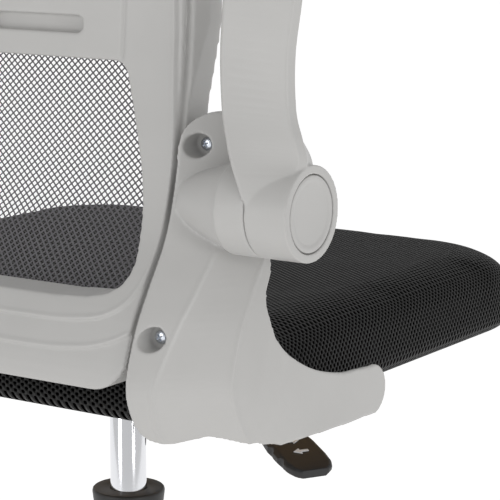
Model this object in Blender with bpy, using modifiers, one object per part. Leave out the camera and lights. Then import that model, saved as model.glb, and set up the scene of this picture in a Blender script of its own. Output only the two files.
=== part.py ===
"""Mesh-back swivel chair with flip-up arms, as an assembly of separate solids.

Frame: metres, +Z up, the chair faces -Y, the origin is on the floor under the
column's axis. The sitter's right is -X. Both arms stand in their flipped-up place.
"""
import math

import bmesh
import bpy
from mathutils import Matrix, Vector

# ---------------------------------------------------------------- driving dimensions (metres)
GAP = 0.0003                     # clearance between pieces that touch
RUN = 0.00035                    # radial clearance of a faceted shaft in a faceted bore

# five-star base and castors
CASTOR_COUNT = 5
STEM_CIRCLE = 0.285              # radius of the circle through the castor stems
FIRST_LEG_DEG = -90.0            # the first leg points to the front
TRAIL_DEG = (90.0, 0.0, 90.0, 90.0, 180.0)   # way each castor trails from its stem
WHEEL_R, WHEEL_W = 0.025, 0.018
WEB_W = 0.011                    # hood's middle web between the two wheels
TRAIL = 0.020                    # wheel centre behind the stem axis
STEM_R, STEM_LOW = 0.0055, 0.0485
AXLE_R = 0.003
HUB_R, HUB_LOW, HUB_TOP = 0.037, 0.054, 0.112
LEG_END_LOW, LEG_END_TOP = 0.0625, 0.088
SOCKET_R = 0.017

# gas column
OUTER_R, OUTER_WALL, OUTER_LOW, OUTER_TOP = 0.025, 0.0022, 0.050, 0.272
BUSH_TOP = 0.286
PRESSURE_R, PRESSURE_WALL = 0.014, 0.002
PRESSURE_LOW, PRESSURE_TOP = 0.145, 0.380
ROD_R, ROD_LOW, ROD_TOP = 0.005, 0.044, 0.215
PIN_R, PIN_TOP = 0.004, 0.387

# tilt mechanism
HOUSING_X, HOUSING_FRONT, HOUSING_REAR = 0.042, -0.105, 0.048
HOUSING_LOW, HOUSING_TOP, HOUSING_WALL = 0.371, 0.394, 0.003
PIVOT_Y, PIVOT_Z, PIVOT_R = 0.034, 0.385, 0.004
TOWER_Y, TOWER_R, TOWER_LOW = -0.072, 0.024, 0.335
KNOB_R, KNOB_LOW, KNOB_TOP, BOLT_LOW = 0.024, 0.312, 0.331, 0.316
LEVER_Z, LEVER_R = 0.3905, 0.003
BLOCK_X, BLOCK_HALF = -0.037, 0.011

# seat
PLATE_X, PLATE_FRONT, PLATE_REAR, PLATE_LOW, PLATE_TOP = 0.095, -0.125, 0.105, 0.3985, 0.4025
BOARD_X, BOARD_FRONT, BOARD_REAR, BOARD_LOW, BOARD_TOP = 0.214, -0.216, 0.188, 0.4028, 0.4130
SEAT_X, SEAT_FRONT, SEAT_REAR, SEAT_LOW, SEAT_TOP = 0.240, -0.245, 0.215, 0.4031, 0.470

# back frame: its rear face seen from the side, as (height, y)
BACK_CURVE = (
    (0.392, 0.2260), (0.412, 0.2420), (0.432, 0.2530), (0.450, 0.2555), (0.480, 0.2455),
    (0.504, 0.2318), (0.532, 0.2140), (0.560, 0.2040), (0.600, 0.1955), (0.640, 0.1895),
    (0.690, 0.1865), (0.760, 0.1920), (0.840, 0.2120), (0.920, 0.2460), (1.020, 0.3030),
)
FRAME_DEPTH = 0.030
FRAME_LOW, FRAME_TOP = 0.440, 1.006
FRAME_HALF_LOW, FRAME_HALF_MID, FRAME_HALF_TOP = 0.1925, 0.1985, 0.178
SLOT_INNER_X, SLOT_OUTER_X, SLOT_Z, SLOT_R, SLOT_DEPTH = 0.034, 0.110, 0.661, 0.0055, 0.006
NET_T = 0.002

# side brackets and arms
HINGE_Y, HINGE_Z = 0.195, 0.555
BOSS_R = 0.030
SEAM_X, HUB_END_X = 0.2604, 0.2905
BRACKET_INNER_X = 0.195
WALL_T = 0.004
FOOT_INNER_X, FOOT_OUTER_X, FOOT_FRONT, FOOT_REAR = 0.165, 0.2535, 0.075, 0.172
FOOT_LOW, FOOT_TOP = 0.3990, 0.4024
SCREW_X = 0.204
SCREW_HEIGHTS = (("lower", 0.475), ("upper", 0.590))
SCREW_HEAD_R, SCREW_R, SCREW_BORE_R = 0.0042, 0.0021, 0.0075
BOLT_R = 0.0055
CAP_R = 0.0242

TURN_STEPS = 24                  # facets of an ordinary round piece
COLUMN_STEPS = 32
WHEEL_STEPS = 20


# ---------------------------------------------------------------- scene helpers
def clear_scene():
    for obj in list(bpy.data.objects):
        bpy.data.objects.remove(obj, do_unlink=True)


def new_collection(name):
    coll = bpy.data.collections.new(name)
    bpy.context.scene.collection.children.link(coll)
    return coll


def new_material(name, colour, roughness, metallic=0.0):
    mat = bpy.data.materials.new(name)
    mat.use_nodes = True
    bsdf = mat.node_tree.nodes["Principled BSDF"]
    bsdf.inputs["Base Color"].default_value = (*colour, 1.0)
    bsdf.inputs["Roughness"].default_value = roughness
    bsdf.inputs["Metallic"].default_value = metallic
    return mat


clear_scene()
PARTS = new_collection("office_chair")
CUTTERS = new_collection("cutters")
GREY = new_material("grey_nylon", (0.58, 0.57, 0.55), 0.45)
DARK = new_material("black_nylon", (0.03, 0.03, 0.03), 0.45)
CHROME = new_material("chrome", (0.85, 0.85, 0.86), 0.12, 1.0)
STEEL = new_material("zinc_steel", (0.60, 0.62, 0.64), 0.3, 1.0)
PAINTED = new_material("black_steel", (0.02, 0.02, 0.02), 0.4)
PLYWOOD = new_material("plywood", (0.55, 0.38, 0.22), 0.7)
FABRIC = new_material("spacer_fabric", (0.02, 0.02, 0.02), 0.9)
NETTING = new_material("back_net", (0.03, 0.03, 0.03), 0.8)
SOFT_PAD = new_material("arm_pad", (0.45, 0.45, 0.45), 0.6)


def finish(obj, name, material):
    """Name a sub-part, give it its material and put it in the parts collection."""
    for coll in list(obj.users_collection):
        coll.objects.unlink(obj)
    PARTS.objects.link(obj)
    obj.name = name
    obj.hide_render = False
    obj.display_type = "TEXTURED"
    obj.data.materials.clear()
    obj.data.materials.append(material)
    obj.data.shade_smooth()
    obj.data.set_sharp_from_angle(angle=math.radians(30))
    return obj


def tool(mesh, name="cutter"):
    """A helper solid: it shapes sub-parts and isn't one itself."""
    obj = bpy.data.objects.new(name, mesh)
    CUTTERS.objects.link(obj)
    obj.hide_render = True
    obj.display_type = "WIRE"
    return obj


def from_bmesh(bm, name="cutter"):
    bmesh.ops.recalc_face_normals(bm, faces=bm.faces)
    mesh = bpy.data.meshes.new(name)
    bm.to_mesh(mesh)
    bm.free()
    return tool(mesh, name)


def evaluated(obj):
    """The object's shape with its modifiers, as a mesh of its own; the object goes."""
    bpy.context.view_layer.update()
    graph = bpy.context.evaluated_depsgraph_get()
    mesh = bpy.data.meshes.new_from_object(obj.evaluated_get(graph), depsgraph=graph)
    bm = bmesh.new()
    bm.from_mesh(mesh)
    bmesh.ops.remove_doubles(bm, verts=bm.verts, dist=1e-6)
    bmesh.ops.recalc_face_normals(bm, faces=bm.faces)
    bm.to_mesh(mesh)
    bm.free()
    made = tool(mesh, obj.name)
    made.matrix_world = obj.matrix_world.copy()
    bpy.data.objects.remove(obj, do_unlink=True)
    return made


def box(low, high):
    low, high = Vector(low), Vector(high)
    bm = bmesh.new()
    bmesh.ops.create_cube(bm, size=1.0)
    bmesh.ops.scale(bm, vec=high - low, verts=bm.verts)
    bmesh.ops.translate(bm, vec=(low + high) / 2, verts=bm.verts)
    return from_bmesh(bm)


def cylinder(start, end, radius, end_radius=None, sides=TURN_STEPS):
    start, end = Vector(start), Vector(end)
    run = end - start
    bm = bmesh.new()
    top = radius if end_radius is None else end_radius
    bmesh.ops.create_cone(bm, cap_ends=True, segments=sides, radius1=radius, radius2=top,
                          depth=run.length)
    turn = run.to_track_quat("Z", "Y").to_matrix().to_4x4()
    bmesh.ops.transform(bm, matrix=Matrix.Translation((start + end) / 2) @ turn, verts=bm.verts)
    return from_bmesh(bm)


def turned(profile, steps=TURN_STEPS, closed=True):
    """Turn a profile of (radius, height) points about Z."""
    mesh = bpy.data.meshes.new("turned")
    count = len(profile)
    edges = [(i, (i + 1) % count) for i in range(count if closed else count - 1)]
    mesh.from_pydata([(r, 0, z) for r, z in profile], edges, [])
    obj = tool(mesh, "turned")
    screw = obj.modifiers.new("Turn", "SCREW")
    screw.steps = screw.render_steps = steps
    screw.use_merge_vertices = True
    screw.merge_threshold = 1e-5
    return evaluated(obj)


def prism(outline, axis, low, high):
    """A flat outline made thick along an axis: (y, z) for X, (x, z) for Y, (x, y) for Z."""
    curve = bpy.data.curves.new("outline", "CURVE")
    curve.dimensions = "2D"
    curve.fill_mode = "BOTH"
    curve.extrude = (high - low) / 2
    spline = curve.splines.new("POLY")
    spline.points.add(len(outline) - 1)
    for point, (a, b) in zip(spline.points, outline):
        point.co = (a, b, 0, 1)
    spline.use_cyclic_u = True
    obj = bpy.data.objects.new("outline", curve)
    CUTTERS.objects.link(obj)
    quarter = math.radians(90)
    turns = {"X": (quarter, 0, quarter), "Y": (quarter, 0, 0), "Z": (0, 0, 0)}
    obj.rotation_euler = turns[axis]
    obj.location["XYZ".index(axis)] = (low + high) / 2
    return evaluated(obj)


def loft(sections):
    """A closed solid through rings of equal point counts, capped at both ends."""
    bm = bmesh.new()
    rings = [[bm.verts.new(p) for p in ring] for ring in sections]
    for lower, upper in zip(rings, rings[1:]):
        for i in range(len(lower)):
            j = (i + 1) % len(lower)
            bm.faces.new((lower[i], lower[j], upper[j], upper[i]))
    bm.faces.new(rings[0])
    bm.faces.new(rings[-1])
    return from_bmesh(bm)


def combine(obj, other, operation):
    """A live Boolean; the other solid stays in the cutters collection."""
    mod = obj.modifiers.new(operation.title(), "BOOLEAN")
    mod.operation = operation
    mod.object = other
    mod.solver = "EXACT"
    return obj


def cut(obj, *others):
    for other in others:
        combine(obj, other, "DIFFERENCE")
    return obj


def join(obj, *others):
    for other in others:
        combine(obj, other, "UNION")
    return obj


def smooth_curve(points, steps=4):
    """Points of a Catmull-Rom curve through the given ones."""
    points = [Vector(p) for p in points]
    padded = [2 * points[0] - points[1]] + points + [2 * points[-1] - points[-2]]
    out = []
    for a, b, c, d in zip(padded, padded[1:], padded[2:], padded[3:]):
        for k in range(steps):
            t = k / steps
            out.append(0.5 * (2 * b + (c - a) * t + (2 * a - 5 * b + 4 * c - d) * t * t
                              + (3 * b - a - 3 * c + d) * t ** 3))
    return out + [points[-1]]


def tube(points, radius, resolution=3):
    curve = bpy.data.curves.new("tube", "CURVE")
    curve.dimensions = "3D"
    curve.bevel_depth = radius
    curve.bevel_resolution = resolution
    curve.use_fill_caps = True
    spline = curve.splines.new("POLY")
    spline.points.add(len(points) - 1)
    for point, place in zip(spline.points, points):
        point.co = (*place, 1)
    obj = bpy.data.objects.new("tube", curve)
    CUTTERS.objects.link(obj)
    return evaluated(obj)


def arc(centre, radius, start_deg, end_deg, steps=6):
    angles = [math.radians(start_deg + (end_deg - start_deg) * k / steps) for k in range(steps + 1)]
    return [(centre[0] + radius * math.cos(a), centre[1] + radius * math.sin(a)) for a in angles]


def rounded_outline(low, high, radius, steps=4):
    """A rectangle with round corners, anticlockwise."""
    (x0, y0), (x1, y1) = low, high
    corners = (((x1 - radius, y0 + radius), -90), ((x1 - radius, y1 - radius), 0),
               ((x0 + radius, y1 - radius), 90), ((x0 + radius, y0 + radius), 180))
    return [p for centre, a in corners for p in arc(centre, radius, a, a + 90, steps)]


def move_origin(obj, place):
    """Put the object's origin on its joint's axis and leave its shape where it is."""
    place = Vector(place)
    obj.data.transform(Matrix.Translation(-place))
    obj.location = place
    return obj


# ---------------------------------------------------------------- base and castors
def leg_angle(index):
    return math.radians(FIRST_LEG_DEG + 360.0 / CASTOR_COUNT * index)


def on_circle(index, radius, z):
    a = leg_angle(index)
    return Vector((radius * math.cos(a), radius * math.sin(a), z))


def star_leg(index):
    """A leg that tapers from the hub to its castor socket."""
    stations = ((0.015, 0.021, 0.064, 0.110), (0.110, 0.019, 0.066, 0.106),
                (0.220, 0.016, 0.065, 0.096), (STEM_CIRCLE, 0.0135, LEG_END_LOW, 0.0875))
    rings = []
    for reach, half, low, top in stations:
        chamfer = 0.007
        ring = ((-half, low), (half, low), (half, top - chamfer), (half - chamfer, top),
                (-half + chamfer, top), (-half, top - chamfer))
        rings.append([(reach, y, z) for y, z in ring])
    leg = loft(rings)
    leg.data.transform(Matrix.Rotation(leg_angle(index), 4, "Z"))
    return leg


def make_star_base():
    base = turned(((HUB_R - 0.004, HUB_TOP), (HUB_R, HUB_TOP - 0.006), (HUB_R + 0.003, HUB_LOW),
                   (0.020, HUB_LOW), (0.020, HUB_TOP)), COLUMN_STEPS)
    sockets, bores = [], []
    for k in range(CASTOR_COUNT):
        sockets.append(cylinder(on_circle(k, STEM_CIRCLE, LEG_END_LOW - 0.0005),
                                on_circle(k, STEM_CIRCLE, LEG_END_TOP), SOCKET_R, SOCKET_R - 0.002, 20))
        bores.append(cylinder(on_circle(k, STEM_CIRCLE, LEG_END_LOW - 0.01),
                              on_circle(k, STEM_CIRCLE, LEG_END_TOP - 0.0025), STEM_R + RUN, sides=16))
    join(base, *[star_leg(k) for k in range(CASTOR_COUNT)])
    join(base, *sockets)
    cut(base, *bores)
    cut(base, cylinder((0, 0, 0), (0, 0, 0.2), OUTER_R + GAP, sides=COLUMN_STEPS))
    return finish(base, "star_base", GREY)


def make_castor(index):
    """Hood, stem, axle and two wheels, under empties on the swivel axis and the axle."""
    number = index + 1
    swivel = bpy.data.objects.new(f"castor_swivel_{number}", None)
    PARTS.objects.link(swivel)
    swivel.location = on_circle(index, STEM_CIRCLE, 0)
    swivel.rotation_euler = (0, 0, math.radians(TRAIL_DEG[index]))
    centre = Vector((TRAIL, 0, WHEEL_R))
    half = WEB_W / 2 + GAP + WHEEL_W
    side = Vector((0, 1, 0))

    hood = cylinder(centre - side * half, centre + side * half, WHEEL_R + 0.0045, sides=WHEEL_STEPS)
    join(hood, cylinder((0, 0, 0.036), (0, 0, 0.060), 0.0095, 0.0085, 16))
    for sign in (-1, 1):
        inner = centre + side * sign * WEB_W / 2
        cut(hood, cylinder(inner, inner + side * sign * 0.03, WHEEL_R + 0.0016, sides=WHEEL_STEPS))
        cut(hood, box((-0.03, min(sign * WEB_W / 2, sign * 0.05), -0.01),
                      (0.08, max(sign * WEB_W / 2, sign * 0.05), WHEEL_R + 0.004)))
    cut(hood, box((-0.03, -0.05, -0.01), (0.08, 0.05, WHEEL_R - 0.009)))
    cut(hood, cylinder((0, 0, STEM_LOW - GAP), (0, 0, 0.08), STEM_R + GAP, sides=16))
    cut(hood, cylinder(centre - side * 0.03, centre + side * 0.03, AXLE_R + GAP, sides=12))
    pieces = [finish(evaluated(hood), f"castor_hood_{number}", DARK)]

    stem = turned(((0, LEG_END_TOP - 0.004), (STEM_R - 0.001, LEG_END_TOP - 0.004),
                   (STEM_R, LEG_END_TOP - 0.006), (STEM_R, STEM_LOW), (0, STEM_LOW)), 16, closed=False)
    pieces.append(finish(stem, f"castor_stem_{number}", STEEL))

    reach = half - 0.003
    axle = cylinder(centre - side * reach, centre + side * reach, AXLE_R, sides=12)
    pieces.append(finish(axle, f"castor_axle_{number}", STEEL))

    for sign, word in ((-1, "left"), (1, "right")):
        inner = WEB_W / 2 + GAP
        profile = ((WHEEL_R - 0.002, inner + WHEEL_W), (WHEEL_R, inner + WHEEL_W - 0.003),
                   (WHEEL_R, inner), (AXLE_R + RUN, inner), (AXLE_R + RUN, inner + WHEEL_W - 0.002),
                   (0.018, inner + WHEEL_W - 0.002), (0.020, inner + WHEEL_W))
        wheel = turned(profile, WHEEL_STEPS)
        wheel.rotation_euler = (math.radians(-90 * sign), 0, 0)
        wheel.location = centre
        pieces.append(finish(wheel, f"castor_wheel_{word}_{number}", DARK))
    for piece in pieces:
        piece.parent = swivel
    return pieces


# ---------------------------------------------------------------- gas column
def make_column():
    inner = OUTER_R - OUTER_WALL
    outer = turned(((OUTER_R, OUTER_TOP), (OUTER_R, OUTER_LOW), (ROD_R + RUN, OUTER_LOW),
                    (ROD_R + RUN, OUTER_LOW + 0.004), (inner, OUTER_LOW + 0.004), (inner, OUTER_TOP)),
                   COLUMN_STEPS)
    finish(outer, "outer_tube", CHROME)

    slide = PRESSURE_R + RUN
    bush = turned(((OUTER_R + 0.0025, BUSH_TOP), (OUTER_R + 0.003, BUSH_TOP - 0.003),
                   (OUTER_R + 0.001, OUTER_TOP + GAP), (inner - GAP, OUTER_TOP + GAP),
                   (inner - GAP, 0.205), (slide, 0.205), (slide, BUSH_TOP)), COLUMN_STEPS)
    finish(bush, "guide_bush", DARK)

    rod = turned(((0, ROD_TOP), (ROD_R - 0.001, ROD_TOP), (ROD_R, ROD_TOP - 0.001),
                  (ROD_R, ROD_LOW), (0, ROD_LOW)), 16, closed=False)
    finish(rod, "piston_rod", STEEL)
    bearing = turned(((0.0135, 0.0605), (0.0135, OUTER_LOW + 0.004 + GAP),
                      (ROD_R + GAP, OUTER_LOW + 0.004 + GAP), (ROD_R + GAP, 0.0605)), 16)
    finish(bearing, "thrust_bearing", STEEL)
    clip = turned(((0.0095, OUTER_LOW - GAP), (0.0095, 0.0475), (ROD_R + GAP, 0.0475),
                   (ROD_R + GAP, OUTER_LOW - GAP)), 16)
    finish(clip, "retaining_clip", STEEL)

    bore = PRESSURE_R - PRESSURE_WALL
    floor, roof = PRESSURE_LOW + 0.006, PRESSURE_TOP - 0.006
    gas = turned(((PRESSURE_R - 0.001, PRESSURE_TOP), (PRESSURE_R, PRESSURE_TOP - 0.001),
                  (PRESSURE_R, PRESSURE_LOW), (ROD_R + RUN, PRESSURE_LOW), (ROD_R + RUN, floor),
                  (bore, floor), (bore, roof), (PIN_R + RUN, roof), (PIN_R + RUN, PRESSURE_TOP)), COLUMN_STEPS)
    finish(gas, "pressure_tube", CHROME)

    pin = turned(((0, PIN_TOP), (0.0020, PIN_TOP), (0.0025, PIN_TOP - 0.001), (PIN_R, 0.3815),
                  (PIN_R, 0.370), (0, 0.370)), 16, closed=False)
    finish(pin, "release_pin", STEEL)


# ---------------------------------------------------------------- tilt mechanism and lever
def make_housing():
    wall, x = HOUSING_WALL, HOUSING_X
    body = box((-x, HOUSING_FRONT, HOUSING_LOW), (x, HOUSING_REAR, HOUSING_TOP))
    cut(body, box((-x + wall, HOUSING_FRONT + wall, HOUSING_LOW + wall),
                  (x - wall, HOUSING_REAR - wall, HOUSING_TOP + 0.01)))
    join(body, cylinder((0, 0, HOUSING_LOW), (0, 0, PRESSURE_TOP - GAP), 0.019))
    join(body, cylinder((0, TOWER_Y, TOWER_LOW), (0, TOWER_Y, HOUSING_LOW + wall), TOWER_R))
    cut(body, cylinder((0, 0, 0.30), (0, 0, 0.40), PRESSURE_R + GAP, sides=COLUMN_STEPS))
    cut(body, cylinder((0, TOWER_Y, TOWER_LOW + wall), (0, TOWER_Y, 0.40), TOWER_R - wall))
    cut(body, cylinder((0, TOWER_Y, 0.30), (0, TOWER_Y, 0.40), 0.0045, sides=12))
    cut(body, cylinder((-0.06, PIVOT_Y, PIVOT_Z), (0.06, PIVOT_Y, PIVOT_Z), PIVOT_R + GAP, sides=16))
    cut(body, box((-x - 0.01, -0.0088, LEVER_Z - 0.0058), (-x + 0.01, 0.0088, 0.40)))
    return finish(body, "mechanism_housing", PAINTED)


def make_tension():
    bolt = turned(((0, 0.392), (0.0075, 0.392), (0.0080, 0.391), (0.0080, 0.388),
                   (0.0040, 0.388), (0.0040, BOLT_LOW), (0, BOLT_LOW)), 12, closed=False)
    bolt.location.y = TOWER_Y
    finish(bolt, "tension_bolt", STEEL)

    bottom, top, turns, per_turn, ring = TOWER_LOW + 0.0050, 0.386, 5, 10, 0.0150
    points = []
    for k in range(turns * per_turn + 1):
        a = 2 * math.pi * k / per_turn
        rise = (top - bottom) * k / (turns * per_turn)
        points.append((ring * math.cos(a), TOWER_Y + ring * math.sin(a), bottom + rise))
    finish(tube(points, 0.0016, 0), "tilt_spring", STEEL)

    knob = turned(((0, KNOB_LOW), (KNOB_R - 0.003, KNOB_LOW), (KNOB_R, KNOB_LOW + 0.004),
                   (KNOB_R - 0.001, KNOB_TOP), (0.0043, KNOB_TOP), (0.0043, BOLT_LOW - 0.0015),
                   (0, BOLT_LOW - 0.0015))[::-1],
                  TURN_STEPS, closed=False)
    knob.location.y = TOWER_Y
    flutes = []
    for k in range(8):
        a = math.radians(45 * k)
        x, y = (KNOB_R + 0.0025) * math.cos(a), TOWER_Y + (KNOB_R + 0.0025) * math.sin(a)
        flutes.append(cylinder((x, y, KNOB_LOW - 0.01), (x, y, KNOB_TOP + 0.01), 0.005, sides=8))
    cut(knob, *flutes)
    finish(knob, "tension_knob", DARK)

    pin = cylinder((-0.052, PIVOT_Y, PIVOT_Z), (0.052, PIVOT_Y, PIVOT_Z), PIVOT_R, sides=16)
    finish(pin, "tilt_pivot_pin", STEEL)


def paddle_sections():
    """Rings along the paddle, from its thick root to its thin tip."""
    root, tip = Vector((-0.140, 0.036, 0.3780)), Vector((-0.224, 0.084, 0.3545))
    along = (tip - root).normalized()
    across = Vector((0, 0, 1)).cross(along).normalized()
    up = along.cross(across)
    rings = []
    for share, half, low, high in ((0.0, 0.0075, -0.0055, 0.0055), (0.30, 0.0135, -0.0055, 0.0055),
                                   (0.62, 0.0182, -0.0048, 0.0045), (0.90, 0.0182, -0.0045, 0.0035),
                                   (1.0, 0.0125, -0.0035, 0.0025)):
        centre = root.lerp(tip, share)
        ring = ((-half, low * 0.4), (-half * 0.8, low), (half * 0.8, low), (half, low * 0.4),
                (half, high * 0.4), (half * 0.8, high), (-half * 0.8, high), (-half, high * 0.4))
        rings.append([centre + across * a + up * b for a, b in ring])
    return rings


def make_lever():
    route = smooth_curve(((0.016, 0, LEVER_Z), (-0.030, 0, LEVER_Z), (-0.066, 0, LEVER_Z),
                          (-0.100, 0.014, 0.3865), (-0.140, 0.036, 0.3780), (-0.1694, 0.0528, 0.3698)), 4)
    finish(tube(route, LEVER_R, 1), "lever_rod", STEEL)
    sleeve = tube(route + [Vector((-0.1725, 0.0546, 0.3689))], LEVER_R + 0.0005, 1)
    paddle = cut(loft(paddle_sections()), sleeve)
    finish(paddle, "lever_paddle", DARK)

    block = box((BLOCK_X - BLOCK_HALF, -0.0083, LEVER_Z - 0.0055),
                (BLOCK_X + BLOCK_HALF, 0.0083, LEVER_Z + 0.0062))
    cut(block, cylinder((-0.08, 0, LEVER_Z), (0.0, 0, LEVER_Z), LEVER_R + 0.0017, sides=16))
    finish(block, "lever_pivot_block", DARK)


# ---------------------------------------------------------------- seat
def make_seat():
    plate = prism(rounded_outline((-PLATE_X, PLATE_FRONT), (PLATE_X, PLATE_REAR), 0.015), "Z",
                  PLATE_LOW, PLATE_TOP)
    for sign in (-1, 1):
        inner, outer = sorted((sign * (HOUSING_X + 0.0020), sign * (HOUSING_X + 0.0050)))
        ear = arc((PIVOT_Y, PIVOT_Z), 0.010, 180, 360) + [(PIVOT_Y + 0.014, PLATE_LOW + 0.001),
                                                         (PIVOT_Y - 0.014, PLATE_LOW + 0.001)]
        join(plate, prism(ear, "X", inner, outer))
    cut(plate, cylinder((-0.06, PIVOT_Y, PIVOT_Z), (0.06, PIVOT_Y, PIVOT_Z), PIVOT_R + RUN, sides=16))
    for x in (-0.07, 0.07):
        for y in (-0.100, 0.080):
            cut(plate, cylinder((x, y, 0.39), (x, y, 0.41), 0.0035, sides=10))
    finish(plate, "seat_plate", PAINTED)

    board = prism(rounded_outline((-BOARD_X, BOARD_FRONT), (BOARD_X, BOARD_REAR), 0.055), "Z",
                  BOARD_LOW, BOARD_TOP)
    finish(board, "seat_board", PLYWOOD)

    # each layer: height, how far it draws in, corner radius
    layers = ((SEAT_LOW, 0.016, 0.055), (0.4075, 0.006, 0.062), (0.418, 0.0, 0.066),
              (0.440, 0.0, 0.066), (0.456, 0.006, 0.064), (0.465, 0.018, 0.062), (SEAT_TOP, 0.040, 0.060))
    rings = []
    for z, draw, radius in layers:
        outline = rounded_outline((-SEAT_X + draw, SEAT_FRONT + draw), (SEAT_X - draw, SEAT_REAR - draw),
                                  radius, 5)
        rings.append([(x, y, z) for x, y in outline])
    cushion = loft(rings)
    room = prism(rounded_outline((-BOARD_X - 0.0005, BOARD_FRONT - 0.0005),
                                 (BOARD_X + 0.0005, BOARD_REAR + 0.0005), 0.055), "Z",
                 BOARD_LOW - 0.01, BOARD_TOP + GAP)
    finish(cut(cushion, room), "seat_cushion", FABRIC)


# ---------------------------------------------------------------- back
def back_y(z):
    """Y of the back frame's rear face at height z, on the curve through BACK_CURVE."""
    points = smooth_curve([(h, y, 0) for h, y in BACK_CURVE], 6)
    for a, b in zip(points, points[1:]):
        if a.x <= z <= b.x:
            return a.y + (b.y - a.y) * (z - a.x) / (b.x - a.x)
    return points[0].y if z < points[0].x else points[-1].y


def band(front, rear, inner=-0.25, outer=0.25, rows=24):
    """A curved slab along the back: front and rear are offsets from the rear face."""
    low, high = FRAME_LOW - 0.015, FRAME_TOP + 0.009
    heights = [low + (high - low) * k / rows for k in range(rows + 1)]
    outline = [(back_y(z) + rear, z) for z in heights]
    outline += [(back_y(z) + front, z) for z in reversed(heights)]
    return prism(outline, "X", inner, outer)


def mirrored_outline(right_side):
    """Close an outline given by its +X half, from the bottom up."""
    return list(right_side) + [(-x, z) for x, z in reversed(right_side)]


def frame_outline():
    corner = 0.030
    side = arc((FRAME_HALF_LOW - corner, FRAME_LOW + corner), corner, -90, 0)
    side += [(FRAME_HALF_LOW, 0.616), (FRAME_HALF_MID, 0.665), (FRAME_HALF_MID, 0.760)]
    side += arc((FRAME_HALF_TOP - 0.060, FRAME_TOP - 0.060), 0.060, 0, 90, 8)
    return mirrored_outline(side)


def lower_window():
    side = arc((0.172 - 0.022, 0.492 + 0.022), 0.022, -90, 0)
    side += [(0.171, 0.560), (0.147, 0.635)]
    side += arc((0.132, 0.633), 0.012, 0, 90, 3)
    return mirrored_outline(side)


def upper_window():
    side = arc((0.156 - 0.020, 0.735 + 0.020), 0.020, -90, 0)
    side += [(0.160, 0.820)]
    side += arc((0.150 - 0.045, 0.976 - 0.045), 0.045, 0, 90, 6)
    return mirrored_outline(side)


def make_back_frame():
    frame = band(-FRAME_DEPTH, 0.0)
    combine(frame, prism(frame_outline(), "Y", 0.0, 0.5), "INTERSECT")
    cut(frame, prism(lower_window(), "Y", 0.0, 0.5), prism(upper_window(), "Y", 0.0, 0.5))
    # a rebate down each outer edge, where the bracket's skin laps over the stile
    cut(frame, band(-0.0068, 0.02, 0.1895, 0.25), band(-0.0068, 0.02, -0.25, -0.1895))
    for sign in (-1, 1):
        for _, z in SCREW_HEIGHTS:
            rear = back_y(z) - 0.0258
            low, high = sorted((sign * 0.1875, sign * 0.2165))
            join(frame, box((low, rear - 0.0125, z - 0.011), (high, rear, z + 0.011)))
    for sign in (-1, 1):
        for _, z in SCREW_HEIGHTS:
            place = Vector((sign * SCREW_X, back_y(z), z))
            cut(frame, cylinder(place - Vector((0, 0.06, 0)), place, SCREW_R + GAP, sides=10))
    for sign in (-1, 1):
        inner, outer = sorted((sign * SLOT_INNER_X, sign * SLOT_OUTER_X))
        slot = rounded_outline((inner, SLOT_Z - SLOT_R), (outer, SLOT_Z + SLOT_R), SLOT_R - GAP)
        cut(frame, prism(slot, "Y", back_y(SLOT_Z) - SLOT_DEPTH, 0.5))
    finish(frame, "back_frame", GREY)

    net = band(-FRAME_DEPTH - GAP - NET_T, -FRAME_DEPTH - GAP)
    outline = mirrored_outline([(0.150, 0.458), (0.180, 0.480), (0.186, 0.620), (0.186, 0.760),
                                (0.166, 0.950), (0.130, 0.988)])
    combine(net, prism(outline, "Y", 0.0, 0.5), "INTERSECT")
    finish(net, "back_mesh", NETTING)


# ---------------------------------------------------------------- side brackets
def bracket_section(z, inset):
    """The bracket's wrap-round skin at height z as (distance from the middle, y), rear to front."""
    y = back_y(z) + 0.002
    skin = ((0.160, y + 0.004), (0.196, y - 0.001), (0.223, y - 0.017), (0.2445, y - 0.0385),
            (0.2555, y - 0.068), (0.2570, 0.100), (0.2550, 0.030))
    drawn = []
    for k, (x, depth) in enumerate(skin):
        before, after = Vector(skin[max(k - 1, 0)]), Vector(skin[min(k + 1, len(skin) - 1)])
        way = (after - before).normalized()
        drawn.append((x + way.y * inset, depth - way.x * inset))
    return drawn


def bracket_volume(side, inset, inner_x, low, high, rows=13):
    rings = []
    for k in range(rows + 1):
        z = low + (high - low) * k / rows
        skin = bracket_section(z, inset)
        ring = [(side * inner_x, skin[0][1], z)]
        ring += [(side * x, y, z) for x, y in skin[1:]]
        ring += [(side * inner_x, 0.030, z)]
        rings.append(ring)
    return loft(rings)


def bracket_side_outline():
    """The bracket seen from the side, as (y, z), from the hinge boss round the prong."""
    front = ((0.175, 0.560), (0.176, 0.520), (0.1850, 0.497), (0.1825, 0.478), (0.1760, 0.466),
             (0.160, 0.4535), (0.135, 0.4415), (0.105, 0.4335), (0.080, 0.4310))
    curve = [(p.x, p.y) for p in smooth_curve([(y, z, 0) for y, z in front], 3)]
    curve += [(y, z) for y, z in arc((0.062, 0.4125), 0.0175, 80, 255, 8)]
    curve += [(0.100, 0.3970), (0.165, 0.3995), (0.205, 0.4035), (0.250, 0.4075), (0.30, 0.4075)]
    return curve + [(0.30, 0.660), (0.175, 0.660)]


def bracket_rear_outline(side):
    """The bracket seen from behind, as (x, z), with the lobe round the upper screw."""
    lobe = arc((0.2135, 0.5895), 0.0225, 180, 0, 10)
    points = [(0.2005, 0.398), (BRACKET_INNER_X - 0.002, 0.415), (BRACKET_INNER_X - 0.004, 0.450),
              (BRACKET_INNER_X - 0.003, 0.500), (BRACKET_INNER_X - 0.002, 0.545)]
    points += [(x, z) for x, z in lobe]
    points += [(0.2375, 0.572), (0.2440, 0.556), (0.262, 0.552), (0.262, 0.385), (0.215, 0.385)]
    return [(side * x, z) for x, z in points]


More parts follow.
